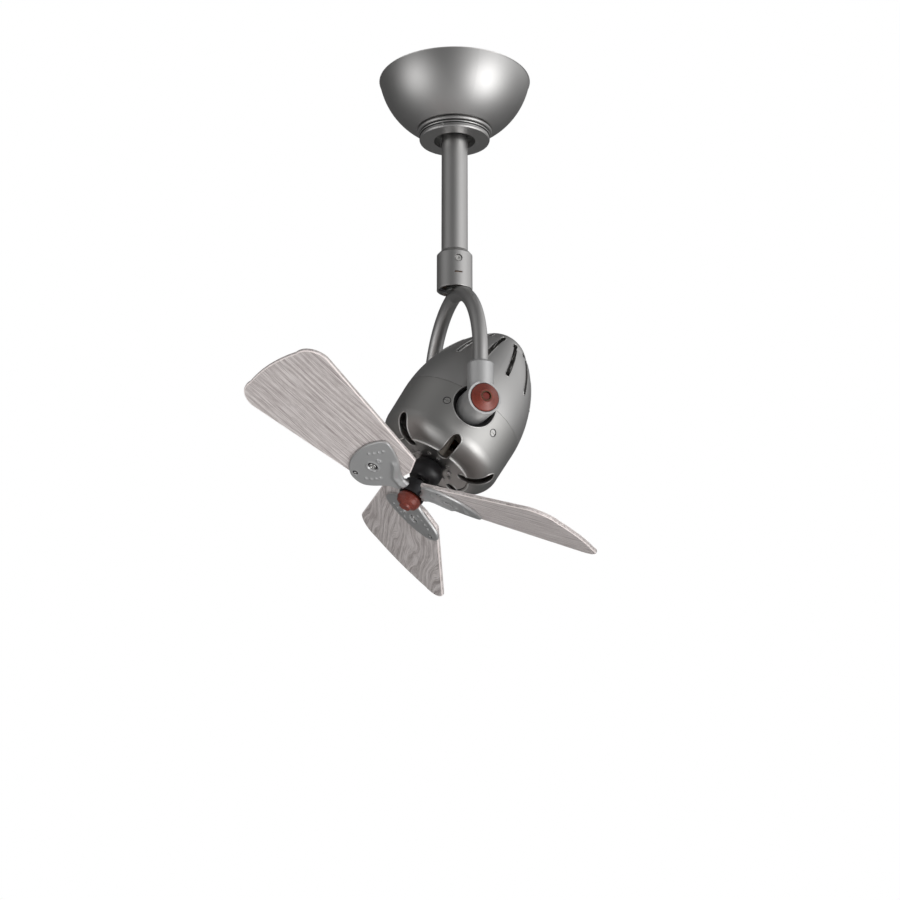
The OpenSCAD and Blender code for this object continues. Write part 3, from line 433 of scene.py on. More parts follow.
def barnwood():
    """Pale grey boards: u runs along the blade and v across it, both in metres. A slow noise sways v by an
    amount that each board's figure sets. Every layer reads the swayed v, so fibres follow the rings."""
    made = Finish("barnwood")
    board = made.node("ShaderNodeUVMap", {"uv_map": "board"})
    along = made.node("ShaderNodeSeparateXYZ", None, {0: board}, out=0)
    across = made.node("ShaderNodeSeparateXYZ", None, {0: board}, out=1)
    figure = made.node("ShaderNodeAttribute", {"attribute_name": "figure"}, out="Fac")
    # rim is 1 on the rounded edges, where the finish paints a highlight
    rim = made.node("ShaderNodeAttribute", {"attribute_name": "rim"}, out="Fac")
    drift = made.noise(made.stretched(board, (7.0, 24.0, 1.0)), scale=1.0, detail=2.0)
    swayed = across + drift * figure * SWAY
    flow = made.node("ShaderNodeCombineXYZ", None, {0: along, 1: swayed})

    def layer(rate_along, rate_across, detail, roughness=0.5):
        """Noise at a rate of clouds in a metre along the board and another across it."""
        return made.noise(made.stretched(flow, (rate_along, rate_across, 1.0)), 1.0, detail, roughness)

    rings = made.wave(swayed * RING_RATE + layer(12.0, 90.0, detail=3.0) * RING_WANDER)
    fibre = layer(34.0, 900.0, detail=5.0, roughness=0.75)
    bands = layer(4.0, 260.0, detail=4.0, roughness=0.7)
    pores = made.ramp(layer(90.0, 1400.0, detail=2.0), [(0.6, 0.0), (0.68, 1.0)])
    saw = made.ramp(layer(1.6, 300.0, detail=1.0), [(0.62, 0.0), (0.7, 1.0)])
    face = made.ramp(rings * (figure * 0.05 + 0.03) + fibre * 0.66 + bands * 0.28, WEATHERED)
    face = made.mix(pores * 0.4 + saw * 0.35, face, shade(128, 117, 116))
    # The pale colour on the rim is a painted highlight along the rounded edges.
    made.feed(Base_Color=made.mix(rim, face, shade(238, 228, 225)), Roughness=fibre * 0.2 + 0.45)
    made.relief(fibre * 0.5 + bands * 0.2 + (1.0 - pores) * 0.3, depth=0.00015)
    return made.material


finishes["barnwood"] = barnwood()
print("barnwood with", len(finishes["barnwood"].node_tree.nodes), "nodes")

# %% [markdown]
# ## Dressing the CAD pieces
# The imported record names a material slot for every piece, so one loop gives each piece the finish of its
# slot. The blade hub is a casting like the irons, but it sits in the shade between the boot and the
# blades, and a soft room has no such deep shade. A darker finish stands in for it.

# %% Dressing the CAD pieces
SHADED = {"blade_hub": "hub_shadow", "hub_screws": "hub_shadow"}
for part in frame["record"]["subparts"]:
    mesh = nodes[part["node"]].data
    mesh.materials.clear()
    mesh.materials.append(finishes[SHADED.get(part["node"], part["material_slot"])])
print("dressed", len(nodes), "CAD pieces")

# %% [markdown]
# ## Pieces from functions
# A new piece is a grid of points worked out in one go with numpy. The helper below turns such a grid
# into a mesh: rows run along the first parameter and columns along the second. The columns close on
# themselves, and the rows may. It also keeps a UV map and a number per point, so that a finish can
# follow the form.

# %% Grid to mesh
MERGE, SLIVER = 1e-6, 1e-7


def grid_faces(rows, columns, close_rows=False):
    """Quads of a grid whose point (r, c) has the number r * columns + c."""
    r, c = np.meshgrid(np.arange(rows if close_rows else rows - 1), np.arange(columns), indexing="ij")
    r2, c2 = (r + 1) % rows, (c + 1) % columns
    return np.stack([r * columns + c, r * columns + c2, r2 * columns + c2, r2 * columns + c],
                    axis=-1).reshape(-1, 4)


def joined(grids, close_rows=False):
    """Points and quads of several grids as one piece: each grid's quads count on from the grid before."""
    counts = [grid.shape[0] * grid.shape[1] for grid in grids]
    starts = np.cumsum([0] + counts[:-1])
    quads = [grid_faces(*grid.shape[:2], close_rows) + start for grid, start in zip(grids, starts)]
    return np.concatenate([grid.reshape(-1, 3) for grid in grids]), np.concatenate(quads)


def new_piece(name, points, quads, finish, slot_name, body, board=None, marks=None):
    """A smooth mesh at the origin that rides on a body; doubles are merged and normals point out. Board is
    a UV place for each point, and marks are named numbers for each point."""
    mesh = bpy.data.meshes.new(name)
    mesh.from_pydata(points.tolist(), [], quads.tolist())
    if board is not None:
        layer = mesh.uv_layers.new(name="board")
        corner = np.zeros(len(mesh.loops), np.int32)
        mesh.loops.foreach_get("vertex_index", corner)
        layer.data.foreach_set("uv", board[corner].astype(np.float32).ravel())
    for mark, values in (marks or {}).items():
        mesh.attributes.new(mark, "FLOAT", "POINT").data.foreach_set("value", values.astype(np.float32))
    work = bmesh.new()
    work.from_mesh(mesh)
    bmesh.ops.remove_doubles(work, verts=work.verts, dist=MERGE)
    bmesh.ops.dissolve_degenerate(work, edges=work.edges, dist=SLIVER)
    bmesh.ops.recalc_face_normals(work, faces=work.faces)
    open_edges = sum(1 for edge in work.edges if len(edge.link_faces) != 2)
    work.to_mesh(mesh)
    work.free()
    mesh.polygons.foreach_set("use_smooth", np.ones(len(mesh.polygons), bool))
    mesh.materials.append(finishes[finish])
    made = bpy.data.objects.new(name, mesh)
    bpy.context.scene.collection.objects.link(made)
    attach(made, body)
    print(name, len(mesh.polygons), "faces,", open_edges, "open edges")
    return made


print("a grid of 3 rows by 4 columns has", len(grid_faces(3, 4)), "quads")


# %% [markdown]
# ## Frames of the head and of a blade
# The head is tilted, and each blade is turned round the rotor and pitched. Shapes are far easier to write
# in a frame of their own, with z forward along the rotor or out of the blade's front. Two functions move
# finished points from those frames into the one frame that all pieces share.

# %% Frames of the head and of a blade
def turn_x(angle):
    """Matrix that turns a column about X."""
    c, s = np.cos(angle), np.sin(angle)
    return np.array([[1.0, 0.0, 0.0], [0.0, c, -s], [0.0, s, c]])


def turn_z(angle):
    """Matrix that turns a column about Z."""
    c, s = np.cos(angle), np.sin(angle)
    return np.array([[c, -s, 0.0], [s, c, 0.0], [0.0, 0.0, 1.0]])


HEAD = turn_x(np.pi - TILT)
AXIS_SHIFT = (SPIN_PLACE - TILT_PLACE) @ HEAD[:, 1]
BLADES, BLADE_PLANE, BLADE_TURN, BLADE_PITCH = 3, 0.0815, np.radians(75.2), np.radians(16.4)


def from_head(points):
    """Points in the head's frame, moved into the row frame. Its origin is on the rotor's axis."""
    return (points + np.array([0.0, AXIS_SHIFT, 0.0])) @ HEAD.T + TILT_PLACE


def from_blade(points, index):
    """Points in the frame of blade 0, 1 or 2, moved into the row frame."""
    turn = turn_z(BLADE_TURN + index * 2.0 * np.pi / BLADES) @ turn_x(BLADE_PITCH)
    return from_head(points @ turn.T + np.array([0.0, 0.0, BLADE_PLANE]))


print("the rotor's axis passes the tilt axis at", round(AXIS_SHIFT * 1000.0, 2), "mm")

# %% [markdown]
# ## Rolled lips of the slots and wells
# Air leaves the head through twelve long slots behind and six short ones across the shoulder, and each
# barrel stands in a round well. The press rolls the edge of such an opening into a thin lip, and that lip
# catches the light. A bevel could round the CAD's own edges, but a CAD mesh is loose triangles with no
# loops of edges to pick. So a lip is a piece of its own, a thin tube round a closed path on the shell. The
# path comes from the cutter: each point of the slot's outline is pushed along the cut to the shell.

# %% Shell of the head
# Sizes of the two housings in the head's frame, as in the CAD.
HEAD_R, HEAD_FRONT, HEAD_BACK, SEAM, BAND = 0.0607, 0.0485, 0.107, 0.0095, 0.003
SHOULDER_R, SHOULDER_MIDDLE, TAPER_OVER = 0.0205, 0.0395, 0.001
SHOULDER_START = HEAD_FRONT - SHOULDER_R
TAPER_END = SHOULDER_START + TAPER_OVER
TAPER_R = SHOULDER_MIDDLE + np.sqrt(SHOULDER_R ** 2 - TAPER_OVER ** 2)
NOSE_ARC, NOSE_START = 0.131, 0.005
nose_side = NOSE_ARC - HEAD_R
nose_left = NOSE_ARC - HEAD_BACK
NOSE_Z = (nose_side ** 2 + NOSE_START ** 2 - nose_left ** 2) / (2.0 * (nose_left + NOSE_START))
NOSE_R = HEAD_BACK - NOSE_Z


def shell_radius(z):
    """Radius of the shell at height z. Behind the seam it is a long arc that runs into the round nose;
    ahead of it come a band, a taper and the quarter circle of the shoulder."""
    back = -z
    arc = np.sqrt(np.maximum(NOSE_ARC ** 2 - (back - NOSE_START) ** 2, 0.0)) - nose_side
    nose = np.sqrt(np.maximum(NOSE_R ** 2 - (back - NOSE_Z) ** 2, 0.0))
    rear = np.where(back > NOSE_Z, nose, np.maximum(arc, 0.0))
    taper = np.interp(z, [-SEAM, -BAND, TAPER_END], [HEAD_R, HEAD_R, TAPER_R])
    shoulder = SHOULDER_MIDDLE + np.sqrt(np.maximum(SHOULDER_R ** 2 - (z - SHOULDER_START) ** 2, 0.0))
    front = np.where(z > TAPER_END, shoulder, taper)
    front = np.where(z > HEAD_FRONT, 0.0, front)
    return np.where(z < -SEAM, rear, front)


print("nose radius", round(NOSE_R, 4), "shell at the seam", round(float(shell_radius(np.array(-SEAM))), 4))

# %% Path on the shell
HALVINGS, SLOT_PUSH, SIDE_PUSH = 30, 0.03, 0.07


def pushed(start, along, reach):
    """Points start + t * along where t, from 0 to reach, is the last place inside the shell, by halving."""
    low, high = np.zeros(len(start)), np.full(len(start), reach)
    for _ in range(HALVINGS):
        middle = (low + high) / 2.0
        spot = start + middle[:, None] * along
        inside = np.hypot(spot[:, 0], spot[:, 1]) < shell_radius(spot[:, 2])
        low, high = np.where(inside, middle, low), np.where(inside, high, middle)
    return start + low[:, None] * along


def stadium(length, width, steps):
    """Closed outline of a slot with round ends, walked at an even pace: a straight run, half a circle, and
    the same two again from the other side."""
    run, turn = length - width, np.pi * width / 2.0
    s = np.linspace(0.0, 2.0 * (run + turn), steps, endpoint=False)
    leg = s % (run + turn)
    angle = np.clip((leg - run) / turn, 0.0, 1.0) * np.pi
    x = np.where(leg < run, leg - run / 2.0, run / 2.0 + np.sin(angle) * width / 2.0)
    y = -np.cos(angle) * width / 2.0
    flip = np.where(s < run + turn, 1.0, -1.0)
    return np.stack([x * flip, y * flip], axis=-1)


print("each point of a path ends within", SIDE_PUSH / 2 ** HALVINGS, "m of the shell")

# %% Lip along a path
LIP, THIN_LIP, LIP_LEAN = 0.0006, 0.00036, 0.65


def lip_tube(path, radius, sides=8):
    """Tube round a closed path: radius times (cos a along the shell's outward direction + sin a across).
    Outward is the line from the head's middle to the place, with its lean to the ends cut to LIP_LEAN."""
    ahead = np.roll(path, -1, 0) - np.roll(path, 1, 0)
    ahead /= np.linalg.norm(ahead, axis=1, keepdims=True)
    out = path * (1.0, 1.0, LIP_LEAN)
    out -= (out * ahead).sum(1, keepdims=True) * ahead
    out /= np.linalg.norm(out, axis=1, keepdims=True)
    across = np.cross(ahead, out)
    a = np.linspace(0.0, 2.0 * np.pi, sides, endpoint=False)[None, :, None]
    return path[:, None] + radius * (np.cos(a) * out[:, None] + np.sin(a) * across[:, None])


def lips(name, paths, radius):
    """One piece of several lips that ride on the head."""
    points, quads = joined([lip_tube(path, radius) for path in paths], close_rows=True)
    # The lighter lip finish paints part of the lips' highlight.
    return new_piece(name, from_head(points), quads, "lip_nickel", "satin_nickel", "head")


print("lips are", round(2000.0 * LIP, 2), "and", round(2000.0 * THIN_LIP, 2), "mm thick")


# %% Shoulder slots
SHOULDER_SLOTS, SHOULDER_SLOT_W, SLOT_INNER_R = 6, 0.010, 0.029
SLOT_SINK, SLOT_RISE, SLOT_BEHIND = 0.0015, 0.0056, 0.012
SHOULDER_OUT = np.array([HEAD_R - SLOT_SINK, SHOULDER_START + SLOT_RISE])
SHOULDER_IN = np.array([SLOT_INNER_R, HEAD_FRONT])
slot_middle = (SHOULDER_OUT + SHOULDER_IN) / 2.0
slot_length = np.linalg.norm(SHOULDER_OUT - SHOULDER_IN)
slot_line = (SHOULDER_OUT - SHOULDER_IN) / slot_length
out_of_slot = np.array([-slot_line[1], 0.0, slot_line[0]])
flat = stadium(slot_length + 2.0 * LIP, SHOULDER_SLOT_W + 2.0 * LIP, 120)
start = np.stack([slot_middle[0] + flat[:, 0] * slot_line[0], flat[:, 1],
                  slot_middle[1] + flat[:, 0] * slot_line[1]], axis=-1) - SLOT_BEHIND * out_of_slot
front_path = pushed(start, out_of_slot, SLOT_PUSH)
turns = [turn_z(2.0 * np.pi / SHOULDER_SLOTS * i) for i in range(SHOULDER_SLOTS)]
lips("shoulder_slot_lips", [front_path @ turn.T for turn in turns], LIP)

# %% Rear slots and wells
REAR_SLOTS, REAR_SLOT_W, REAR_FROM, REAR_MARGIN, REAR_TURN = 12, 0.0043, 0.048, 0.012, 0.68
REAR_START_R, WELL_R = 0.004, 0.0205
REAR_TO = HEAD_BACK - REAR_MARGIN
SIDEWAYS = np.array([1.0, 0.0, 0.0])
flat = stadium(REAR_TO - REAR_FROM + 2.0 * THIN_LIP, REAR_SLOT_W + 2.0 * THIN_LIP, 160)
rear_height = flat[:, 0] - (REAR_FROM + REAR_TO) / 2.0
start = np.stack([np.full(len(flat), REAR_START_R), flat[:, 1], rear_height], axis=-1)
rear_path = pushed(start, SIDEWAYS, SIDE_PUSH)
turns = [turn_z(2.0 * np.pi / REAR_SLOTS * (i + REAR_TURN)) for i in range(REAR_SLOTS)]
lips("rear_slot_lips", [rear_path @ turn.T for turn in turns], THIN_LIP)

around = np.linspace(0.0, 2.0 * np.pi, 120, endpoint=False)
well_lip_r = WELL_R + LIP
start = np.stack([0.0 * around, well_lip_r * np.cos(around) - AXIS_SHIFT, well_lip_r * np.sin(around)],
                 axis=-1)
well_path = pushed(start, SIDEWAYS, SIDE_PUSH)
lips("well_lips", [well_path, well_path * (-1.0, 1.0, 1.0)], LIP)

# %% [markdown]
# ## Blades
# Each blade is a board 3.5 mm thick with a chamfered root, sides that widen to a bowed tip, and round
# corners. Cut from a flat outline it would have razor edges. Here the outline is walked once round, and
# at each point a second parameter runs over the section: in from the middle line of the front face, over
# a rounded edge, and back to the middle line of the rear face.

# %% Blade outline
# Places along the board and half widths across it, as in the CAD.
ROOT, CORNER, TIP, TIP_BULGE, TIP_ARC = 0.0195, 0.0285, 0.182, 0.0036, 0.180
ROOT_HALF, WIDE_HALF, TIP_HALF, TIP_ROUND = 0.017, 0.0345, 0.0595, 0.021
ROOT_STEPS, CHAMFER_STEPS, SIDE_STEPS, TIP_STEPS = 10, 12, 60, 22
MEET_WITHIN, MEET_STEPS = 0.01, 400


def straight(a, b, steps):
    """Points from a up to, but without, b."""
    return np.linspace(a, b, steps, endpoint=False)


def tip_arc(y):
    """Reach of the wide arc that bows the tip, at y across the blade."""
    return TIP + TIP_BULGE - TIP_ARC + np.sqrt(TIP_ARC ** 2 - y ** 2)


def blade_outline():
    """Half the outline from the root's middle to the tip's middle, then mirrored across the length.
    The tip is a wide arc, and a round corner runs up to where it meets that arc."""
    middle = TIP_HALF - TIP_ROUND
    past = np.linspace(0.0, MEET_WITHIN, MEET_STEPS)
    round_corner = TIP - TIP_ROUND + np.sqrt(TIP_ROUND ** 2 - past ** 2)
    meet = past[np.argmax(tip_arc(middle - past) > round_corner)]
    angle = np.linspace(-np.pi / 2.0, np.arcsin(meet / TIP_ROUND), TIP_STEPS)
    corner = np.stack([TIP_ROUND * np.cos(angle), TIP_ROUND * np.sin(angle)], axis=-1)
    across = np.linspace(meet - middle, 0.0, TIP_STEPS)[1:]
    half = np.concatenate([
        straight((ROOT, 0.0), (ROOT, -ROOT_HALF), ROOT_STEPS),
        straight((ROOT, -ROOT_HALF), (CORNER, -WIDE_HALF), CHAMFER_STEPS),
        straight((CORNER, -WIDE_HALF), (TIP - TIP_ROUND, -TIP_HALF), SIDE_STEPS),
        corner + (TIP - TIP_ROUND, -middle),
        np.stack([tip_arc(across), across], axis=-1)])
    return np.concatenate([half, (half * (1.0, -1.0))[-2:0:-1]])


outline = blade_outline()
print("blade outline", outline.shape, "box", outline.min(0), outline.max(0))

# %% Plate with rounded edges
# The last number is the cos(a)^2 below which an edge band takes a painted highlight.
EDGE_STEPS, FACE_MARGIN, EDGE_HIGHLIGHT_LIMIT = 11, 1.25, 0.8


def inward(line):
    """Unit normals of a closed outline that point inwards: the mean of both neighbours' edges, turned."""
    edge = np.roll(line, -1, 0) - np.roll(line, 1, 0)
    across = np.stack([-edge[:, 1], edge[:, 0]], axis=-1)
    return across / np.linalg.norm(across, axis=1, keepdims=True)


def rounded_plate(line, spine, top, bottom, bend, rows=8):
    """Rings of a plate, and a mark of 1 on the edge bands that take a painted highlight. Ring k lies at inset d
    and
    height z: over the edge d = bend (1 - cos a) and z follows bend sin a, and on each face the ring slides in
    rows steps from FACE_MARGIN bends inside the edge to the spine. The mark is 1 where cos(a)^2 is below the edge
    highlight's limit."""
    a = np.linspace(np.pi / 2.0, -np.pi / 2.0, EDGE_STEPS)
    margin = [bend * FACE_MARGIN]
    inset = np.concatenate([margin, bend * (1.0 - np.cos(a)), margin])
    lift = np.where(a > 0.0, top - bend, bottom + bend) + bend * np.sin(a)
    lift[EDGE_STEPS // 2] = (top + bottom) / 2.0
    height = np.concatenate([[top], lift, [bottom]])
    rings = line[None] + inset[:, None, None] * inward(line)[None]
    share = np.linspace(1.0, 0.0, rows + 1)[:-1, None, None]
    front, rear = (spine[None] * share + ring[None] * (1.0 - share) for ring in (rings[0], rings[-1]))
    flat = np.concatenate([front, rings, rear[::-1]])
    level = np.concatenate([np.full(rows, top), height, np.full(rows, bottom)])
    none = np.zeros(rows + 1)
    # 1 on the edge bands that take a painted highlight
    edge_highlight = np.concatenate([none, np.cos(a) ** 2 < EDGE_HIGHLIGHT_LIMIT, none])
    points = np.concatenate([flat, np.broadcast_to(level[:, None, None], flat.shape[:2] + (1,))], axis=-1)
    return points, np.repeat(edge_highlight, len(line))


print("a square's first corner goes in along", inward(np.array([(0, 0), (1, 0), (1, 1), (0, 1)]))[0])

# %% Blade pieces
BOARD_T, BOARD_EDGE, SPINE_FROM, SPINE_TO = 0.0035, 0.0011, 0.045, 0.150
FIGURE, BOARD_STEP, REAR_STEP = (0.25, 1.0, 0.4), np.array([1.7, 0.9]), 0.35
spine = np.stack([np.clip(outline[:, 0], SPINE_FROM, SPINE_TO), np.zeros(len(outline))], axis=-1)
sheet, rim = rounded_plate(outline, spine, 0.0, -BOARD_T, BOARD_EDGE)
quads = grid_faces(*sheet.shape[:2])
flat_points = sheet.reshape(-1, 3)
for index in range(BLADES):
    name = "blade_%d" % (index + 1)
    board = flat_points[:, :2] + index * BOARD_STEP
    board[:, 1] += np.where(flat_points[:, 2] < -BOARD_T / 2.0, REAR_STEP, 0.0)
    # rim: 1 on the rounded edges, where the barnwood finish paints a highlight
    marks = {"rim": rim, "figure": np.full(len(rim), FIGURE[index])}
    blade = new_piece("wood_" + name, from_blade(flat_points, index), quads, "barnwood", "barnwood", "rotor",
                      board, marks)
    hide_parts(name)

# %% [markdown]
# ## Blade irons
# An iron is a cast spade that clamps its board to the hub. The casting has a bent rib down its neck, two
# arcs of small pips, a ring boss and a dished seat for the big screw. A flat plate with a few cylinders
# looks stamped, so here the front face is a height field: each feature adds a soft bell or step to the
# height, which is what a worn mould gives. The outline is the same closed smooth curve as in the CAD.

# %% Iron outline
IRON_LINE = np.array([
    (10.5, -5.5), (17.5, -6.2), (25.7, -10.5), (34, -18.2), (42.3, -23.8), (52, -28.4), (59.6, -29.9),
    (64, -26.6), (67.4, -15.5), (68.4, -1.5), (65.4, 16.5), (59, 29.4), (51, 37.4), (43, 39.6),
    (34.3, 37.6), (28, 30.4), (22.8, 20.5), (17.6, 12), (10.5, 5)]) / 1000.0


def smooth_loop(corners, steps):
    """Closed curve through all corners: between two corners it is the cubic whose slope at each is half
    the way from the corner before to the corner after."""
    a, b, c, d = (np.roll(corners, shift, 0)[:, None] for shift in (1, 0, -1, -2))
    t = np.linspace(0.0, 1.0, steps, endpoint=False)[None, :, None]
    square, cube = 2 * a - 5 * b + 4 * c - d, 3 * b - a - 3 * c + d
    return (0.5 * (2 * b + (c - a) * t + square * t ** 2 + cube * t ** 3)).reshape(-1, 2)


iron_line = smooth_loop(IRON_LINE, 12)
print("iron outline", iron_line.shape, "reaches", round(float(iron_line[:, 0].max()), 4))

# %% Bells and steps
def line_distance(points, chain):
    """Shortest distance from each point to a chain of straight pieces."""
    start, leg = chain[:-1][None], (chain[1:] - chain[:-1])[None]
    along = ((points[:, None] - start) * leg).sum(-1) / (leg ** 2).sum(-1)
    foot = start + np.clip(along, 0.0, 1.0)[..., None] * leg
    return np.linalg.norm(points[:, None] - foot, axis=-1).min(1)


def bell(distance, radius, height, width):
    """A ridge at a radius: height * exp(-(distance - radius)^2 / 2 width^2)."""
    return height * np.exp(-0.5 * ((distance - radius) / width) ** 2)


def step(distance, radius, height, soft):
    """The height inside a radius and 0 outside, through a smooth step as wide as soft."""
    t = np.clip((radius + soft / 2.0 - distance) / soft, 0.0, 1.0)
    return height * t * t * (3.0 - 2.0 * t)


print("half way over a step of 2:", round(float(step(1.0, 1.0, 2.0, 0.1)), 3))

# %% Relief of an iron
PIPS = np.array([(59.6, -2.8), (57.5, -8), (55.8, -13.2), (54.6, -18.4), (38.2, 27), (35, 22.6),
                 (32.9, 17.6), (31.7, 12.4)]) / 1000.0
RIB = np.array([(12.5, -0.8), (18.5, 0.2), (24.6, -0.8), (28.6, -5.2), (32.2, -10.4), (37, -15)]) / 1000.0
RING_BOSS, BIG_SCREW, SMALL_SCREW = np.array([(48, -4.2), (46, 8), (49.2, 31.4)]) / 1000.0
CROWN_MIDDLE = 0.004
# Bells, each a radius, a height and a width.
PIP_BELL, RIB_BELL, CROWN_BELL = (0.0, 0.0012, 0.0009), (0.0, 0.0018, 0.0021), (0.0, 0.0004, 0.018)
BIG_BELL, SMALL_BELL = (0.0059, 0.0006, 0.0007), (0.0032, 0.0003, 0.0005)
BOSS_BELL = (0.0016, 0.0012, 0.0006)
# Steps, each a radius, a height and a softness.
BIG_SEAT, SMALL_SEAT = (0.0052, -0.0016, 0.0008), (0.0027, -0.0009, 0.0007)
NECK_TOP, NECK_UNDER = (0.0175, 0.0009, 0.004), (0.0165, -0.002, 0.002)


def iron_relief(xy):
    """Height over the flat front: pips, ring boss, rib, crown and neck raised, both screws' seats sunk."""
    pips = np.linalg.norm(xy[:, None] - PIPS[None], axis=-1)
    boss, big, small = (np.linalg.norm(xy - spot, axis=1) for spot in (RING_BOSS, BIG_SCREW, SMALL_SCREW))
    return (bell(pips, *PIP_BELL).sum(1) + bell(line_distance(xy, RIB), *RIB_BELL)
            + bell(xy[:, 1] - CROWN_MIDDLE, *CROWN_BELL) + bell(boss, *BOSS_BELL)
            + bell(big, *BIG_BELL) + bell(small, *SMALL_BELL)
            + step(big, *BIG_SEAT) + step(small, *SMALL_SEAT) + step(xy[:, 0], *NECK_TOP))


print("relief at the big screw, metres:", np.round(iron_relief(BIG_SCREW[None]), 5))

# %% Iron pieces
IRON_T, IRON_EDGE, ON_FACE = 0.003, 0.0009, 1e-6
centre = np.broadcast_to(BIG_SCREW, iron_line.shape)
plate, _ = rounded_plate(iron_line, centre, IRON_T, 0.0, IRON_EDGE, 56)
quads = grid_faces(*plate.shape[:2])
iron_points = plate.reshape(-1, 3)
# Both are views of the points, so what is added to z moves the points.
xy, z = iron_points[:, :2], iron_points[:, 2]
front, rear = z > IRON_T - ON_FACE, z < ON_FACE
z += np.where(front, iron_relief(xy), 0.0) + np.where(rear, step(xy[:, 0], *NECK_UNDER), 0.0)
for index in range(BLADES):
    cast = new_piece("cast_iron_%d" % (index + 1), from_blade(iron_points, index), quads, "cast_nickel",
                     "cast_nickel", "rotor")
    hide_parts("blade_iron_%d" % (index + 1))

# %% [markdown]
# ## Screws with a turned head
# The big screw of each iron has a domed head with a raised pip in a round drive, and the small one is a plain
# dome. Each sits in a black ring of painted shade, for the dark gap round the head. A turned form is a profile
# of radius and height carried round a circle, so one helper makes them all, and others stand the finished form on
# an iron or on the shell.

# %% Turned pieces
def turned(profile, steps=32):
    """Profile (radius, height) in millimetres carried round the z axis: (r cos a, r sin a, z)."""
    profile = np.asarray(profile, float) / 1000.0
    a = np.linspace(0.0, 2.0 * np.pi, steps, endpoint=False)
    r, z = profile[:, :1], profile[:, 1:]
    return np.stack([r * np.cos(a), r * np.sin(a), z + 0.0 * a], axis=-1)


def ring(radius, thick, height, steps=32, sides=12):
    """A turned ring of round section: radius + thick cos a, height + thick sin a, in millimetres."""
    a = np.linspace(0.0, 2.0 * np.pi, sides + 1)
    return turned(np.stack([radius + thick * np.cos(a), height + thick * np.sin(a)], axis=-1), steps)


def turned_set(name, forms, finish, slot_name, body):
    """One piece of several turned forms, each already moved to its place."""
    return new_piece(name, *joined(forms), finish, slot_name, body)


def on_irons(big, small):
    """A big and a small turned form stood at the screws of all three irons."""
    return [from_blade(form.reshape(-1, 3) + np.append(spot, 0.0), index).reshape(form.shape)
            for form, spot in ((big, BIG_SCREW), (small, SMALL_SCREW)) for index in range(BLADES)]


print("a profile of two points turns into a grid of", turned([(1, 0), (1, 1)]).shape[:2], "points")


# %% Screws of the irons and their rings of painted shade
big_head = turned([(0, -3), (1.95, -3), (1.95, 1.45), (3.4, 1.45), (3.6, 1.8), (3.5, 2.7), (3.2, 3.3),
                   (2.7, 3.65), (2.2, 3.7), (1.85, 3.4), (1.7, 2.6), (1.25, 2.6), (1.1, 3.2), (0.7, 3.6),
                   (0, 3.75)])
small_head = turned([(0, -3), (1.15, -3), (1.15, 3.0), (1.55, 3.05), (1.6, 3.4), (1.3, 3.9), (0.7, 4.15),
                     (0, 4.2)])
# Black rings round the screws of each iron: painted shade of the gap round each head.
BIG_SHADE_RING, SMALL_SHADE_RING = (4.3, 0.78, 1.65), (2.15, 0.5, 2.75)
heads = turned_set("domed_screws", on_irons(big_head, small_head), "screw_steel", "screw_steel", "rotor")
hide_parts("blade_screws")
turned_set("screw_shade_rings", on_irons(ring(*BIG_SHADE_RING), ring(*SMALL_SHADE_RING)), "boot_black", "boot_black",
           "rotor")

# %% [markdown]
# ## Trim of the canopy
# The spun bowl ends in a rolled rim, and the stepped ring under it has a fine bead between two dark
# grooves. The CAD meshes stay as they are, so a groove can't be cut here. A thin dark ring, half sunk in
# the step, is painted shade that shows the groove's dark line, and the same helper turns it round the rod's axis.

# %% Canopy trim
# Rings, each a radius, a thickness and a height in millimetres.
RIM_ROLL, FINE_BEAD = (75.45, 0.45, -0.5), (34.95, 0.6, -59.1)
# Dark rings of painted shade where the two grooves' shade falls.
GROOVE_SHADES = [(34.7, 0.55, -57.9), (34.7, 0.55, -60.3)]
RIM_STEPS, BEAD_STEPS = 160, 128
trim = [ring(*RIM_ROLL, RIM_STEPS), ring(*FINE_BEAD, BEAD_STEPS)]
# The rim roll and the fine bead take the lighter lip finish, which paints part of their highlight.
turned_set("canopy_trim", trim, "lip_nickel", "satin_nickel", "ceiling_mount")
groove_shades = [ring(*groove, BEAD_STEPS) for groove in GROOVE_SHADES]
turned_set("canopy_groove_shades", groove_shades, "well_black", "well_black", "ceiling_mount")

# %% [markdown]
# ## Bead of the face, and painted shade round the housing screws
# A bright bead with a dark groove inside it frames the head's face, and the six shoulder slots break it
# into arcs. The bead's lighter finish paints part of its highlight, and the groove is a thin dark ring of
# painted shade. An arc can't be a full turned ring, so its thickness falls to nothing at both ends, which
# also closes it. Each housing screw sits in a dark ring of painted shade, a small ring whose axis points
# straight out of the shell.

# %% Bead of the face
# Arcs, each half an angle, a radius, a height and a thickness.
FACE_BEAD = (np.radians(21.5), 0.0401, 0.0496, 0.0008)
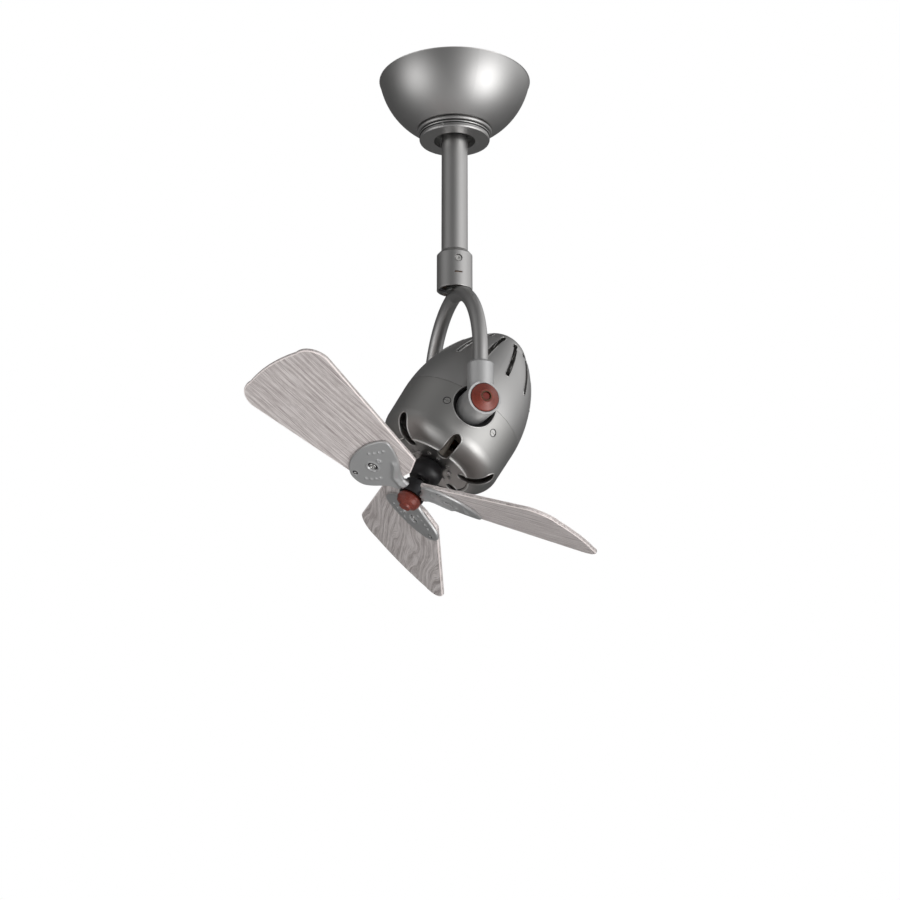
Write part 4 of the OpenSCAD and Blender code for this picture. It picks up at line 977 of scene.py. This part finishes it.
# Dark arcs of painted shade inside the bead, where the groove's shade falls.
FACE_GROOVE_SHADE = (np.radians(21.0), 0.0383, 0.0485, 0.0006)


def bead_arc(middle, half, radius, height, thick, steps=60, sides=10):
    """Arc of a bead round the rotor's axis. Its thickness is thick sqrt(1 - u^12), u from -1 to 1 along it,
    so both ends close to a point."""
    u = np.linspace(-1.0, 1.0, steps)[:, None]
    a = np.linspace(0.0, 2.0 * np.pi, sides, endpoint=False)[None]
    full = thick * np.sqrt(1.0 - u ** 12)
    angle, r = middle + half * u, radius + full * np.cos(a)
    return from_head(np.stack([r * np.cos(angle), r * np.sin(angle), height + full * np.sin(a)],
                              axis=-1).reshape(-1, 3)).reshape(steps, sides, 3)


between = 2.0 * np.pi / SHOULDER_SLOTS * (np.arange(SHOULDER_SLOTS) + 0.5)
# The bead's lighter finish paints part of its highlight.
turned_set("face_bead", [bead_arc(middle, *FACE_BEAD) for middle in between], "bright_bead",
           "satin_nickel", "head")
turned_set("face_groove_shade", [bead_arc(middle, *FACE_GROOVE_SHADE) for middle in between], "well_black",
           "well_black", "head")

# %% Painted shade round the housing screws
HOUSE_SCREW_TURN, HOUSE_SCREW_Z, HOUSE_SHADE_RING_R = np.radians(26.0), 0.0096, 0.06015
# A dark ring of painted shade round each housing screw, in the gap of its counterbore.
HOUSE_SHADE_RING = (3.6, 0.38, 0.0)


def on_shell(form, angle):
    """A turned form whose axis points straight out of the shell at an angle round the rotor's axis."""
    out = np.array([np.cos(angle), np.sin(angle), 0.0])
    frame_rows = np.array([[-out[1], out[0], 0.0], [0.0, 0.0, 1.0], out])
    points = form.reshape(-1, 3) @ frame_rows + HOUSE_SHADE_RING_R * out + np.array([0.0, 0.0, HOUSE_SCREW_Z])
    return from_head(points).reshape(form.shape)


shade_rings = [on_shell(ring(*HOUSE_SHADE_RING), side + turn)
           for side in (0.0, np.pi) for turn in (-HOUSE_SCREW_TURN, HOUSE_SCREW_TURN)]
turned_set("housing_shade_rings", shade_rings, "well_black", "well_black", "head")
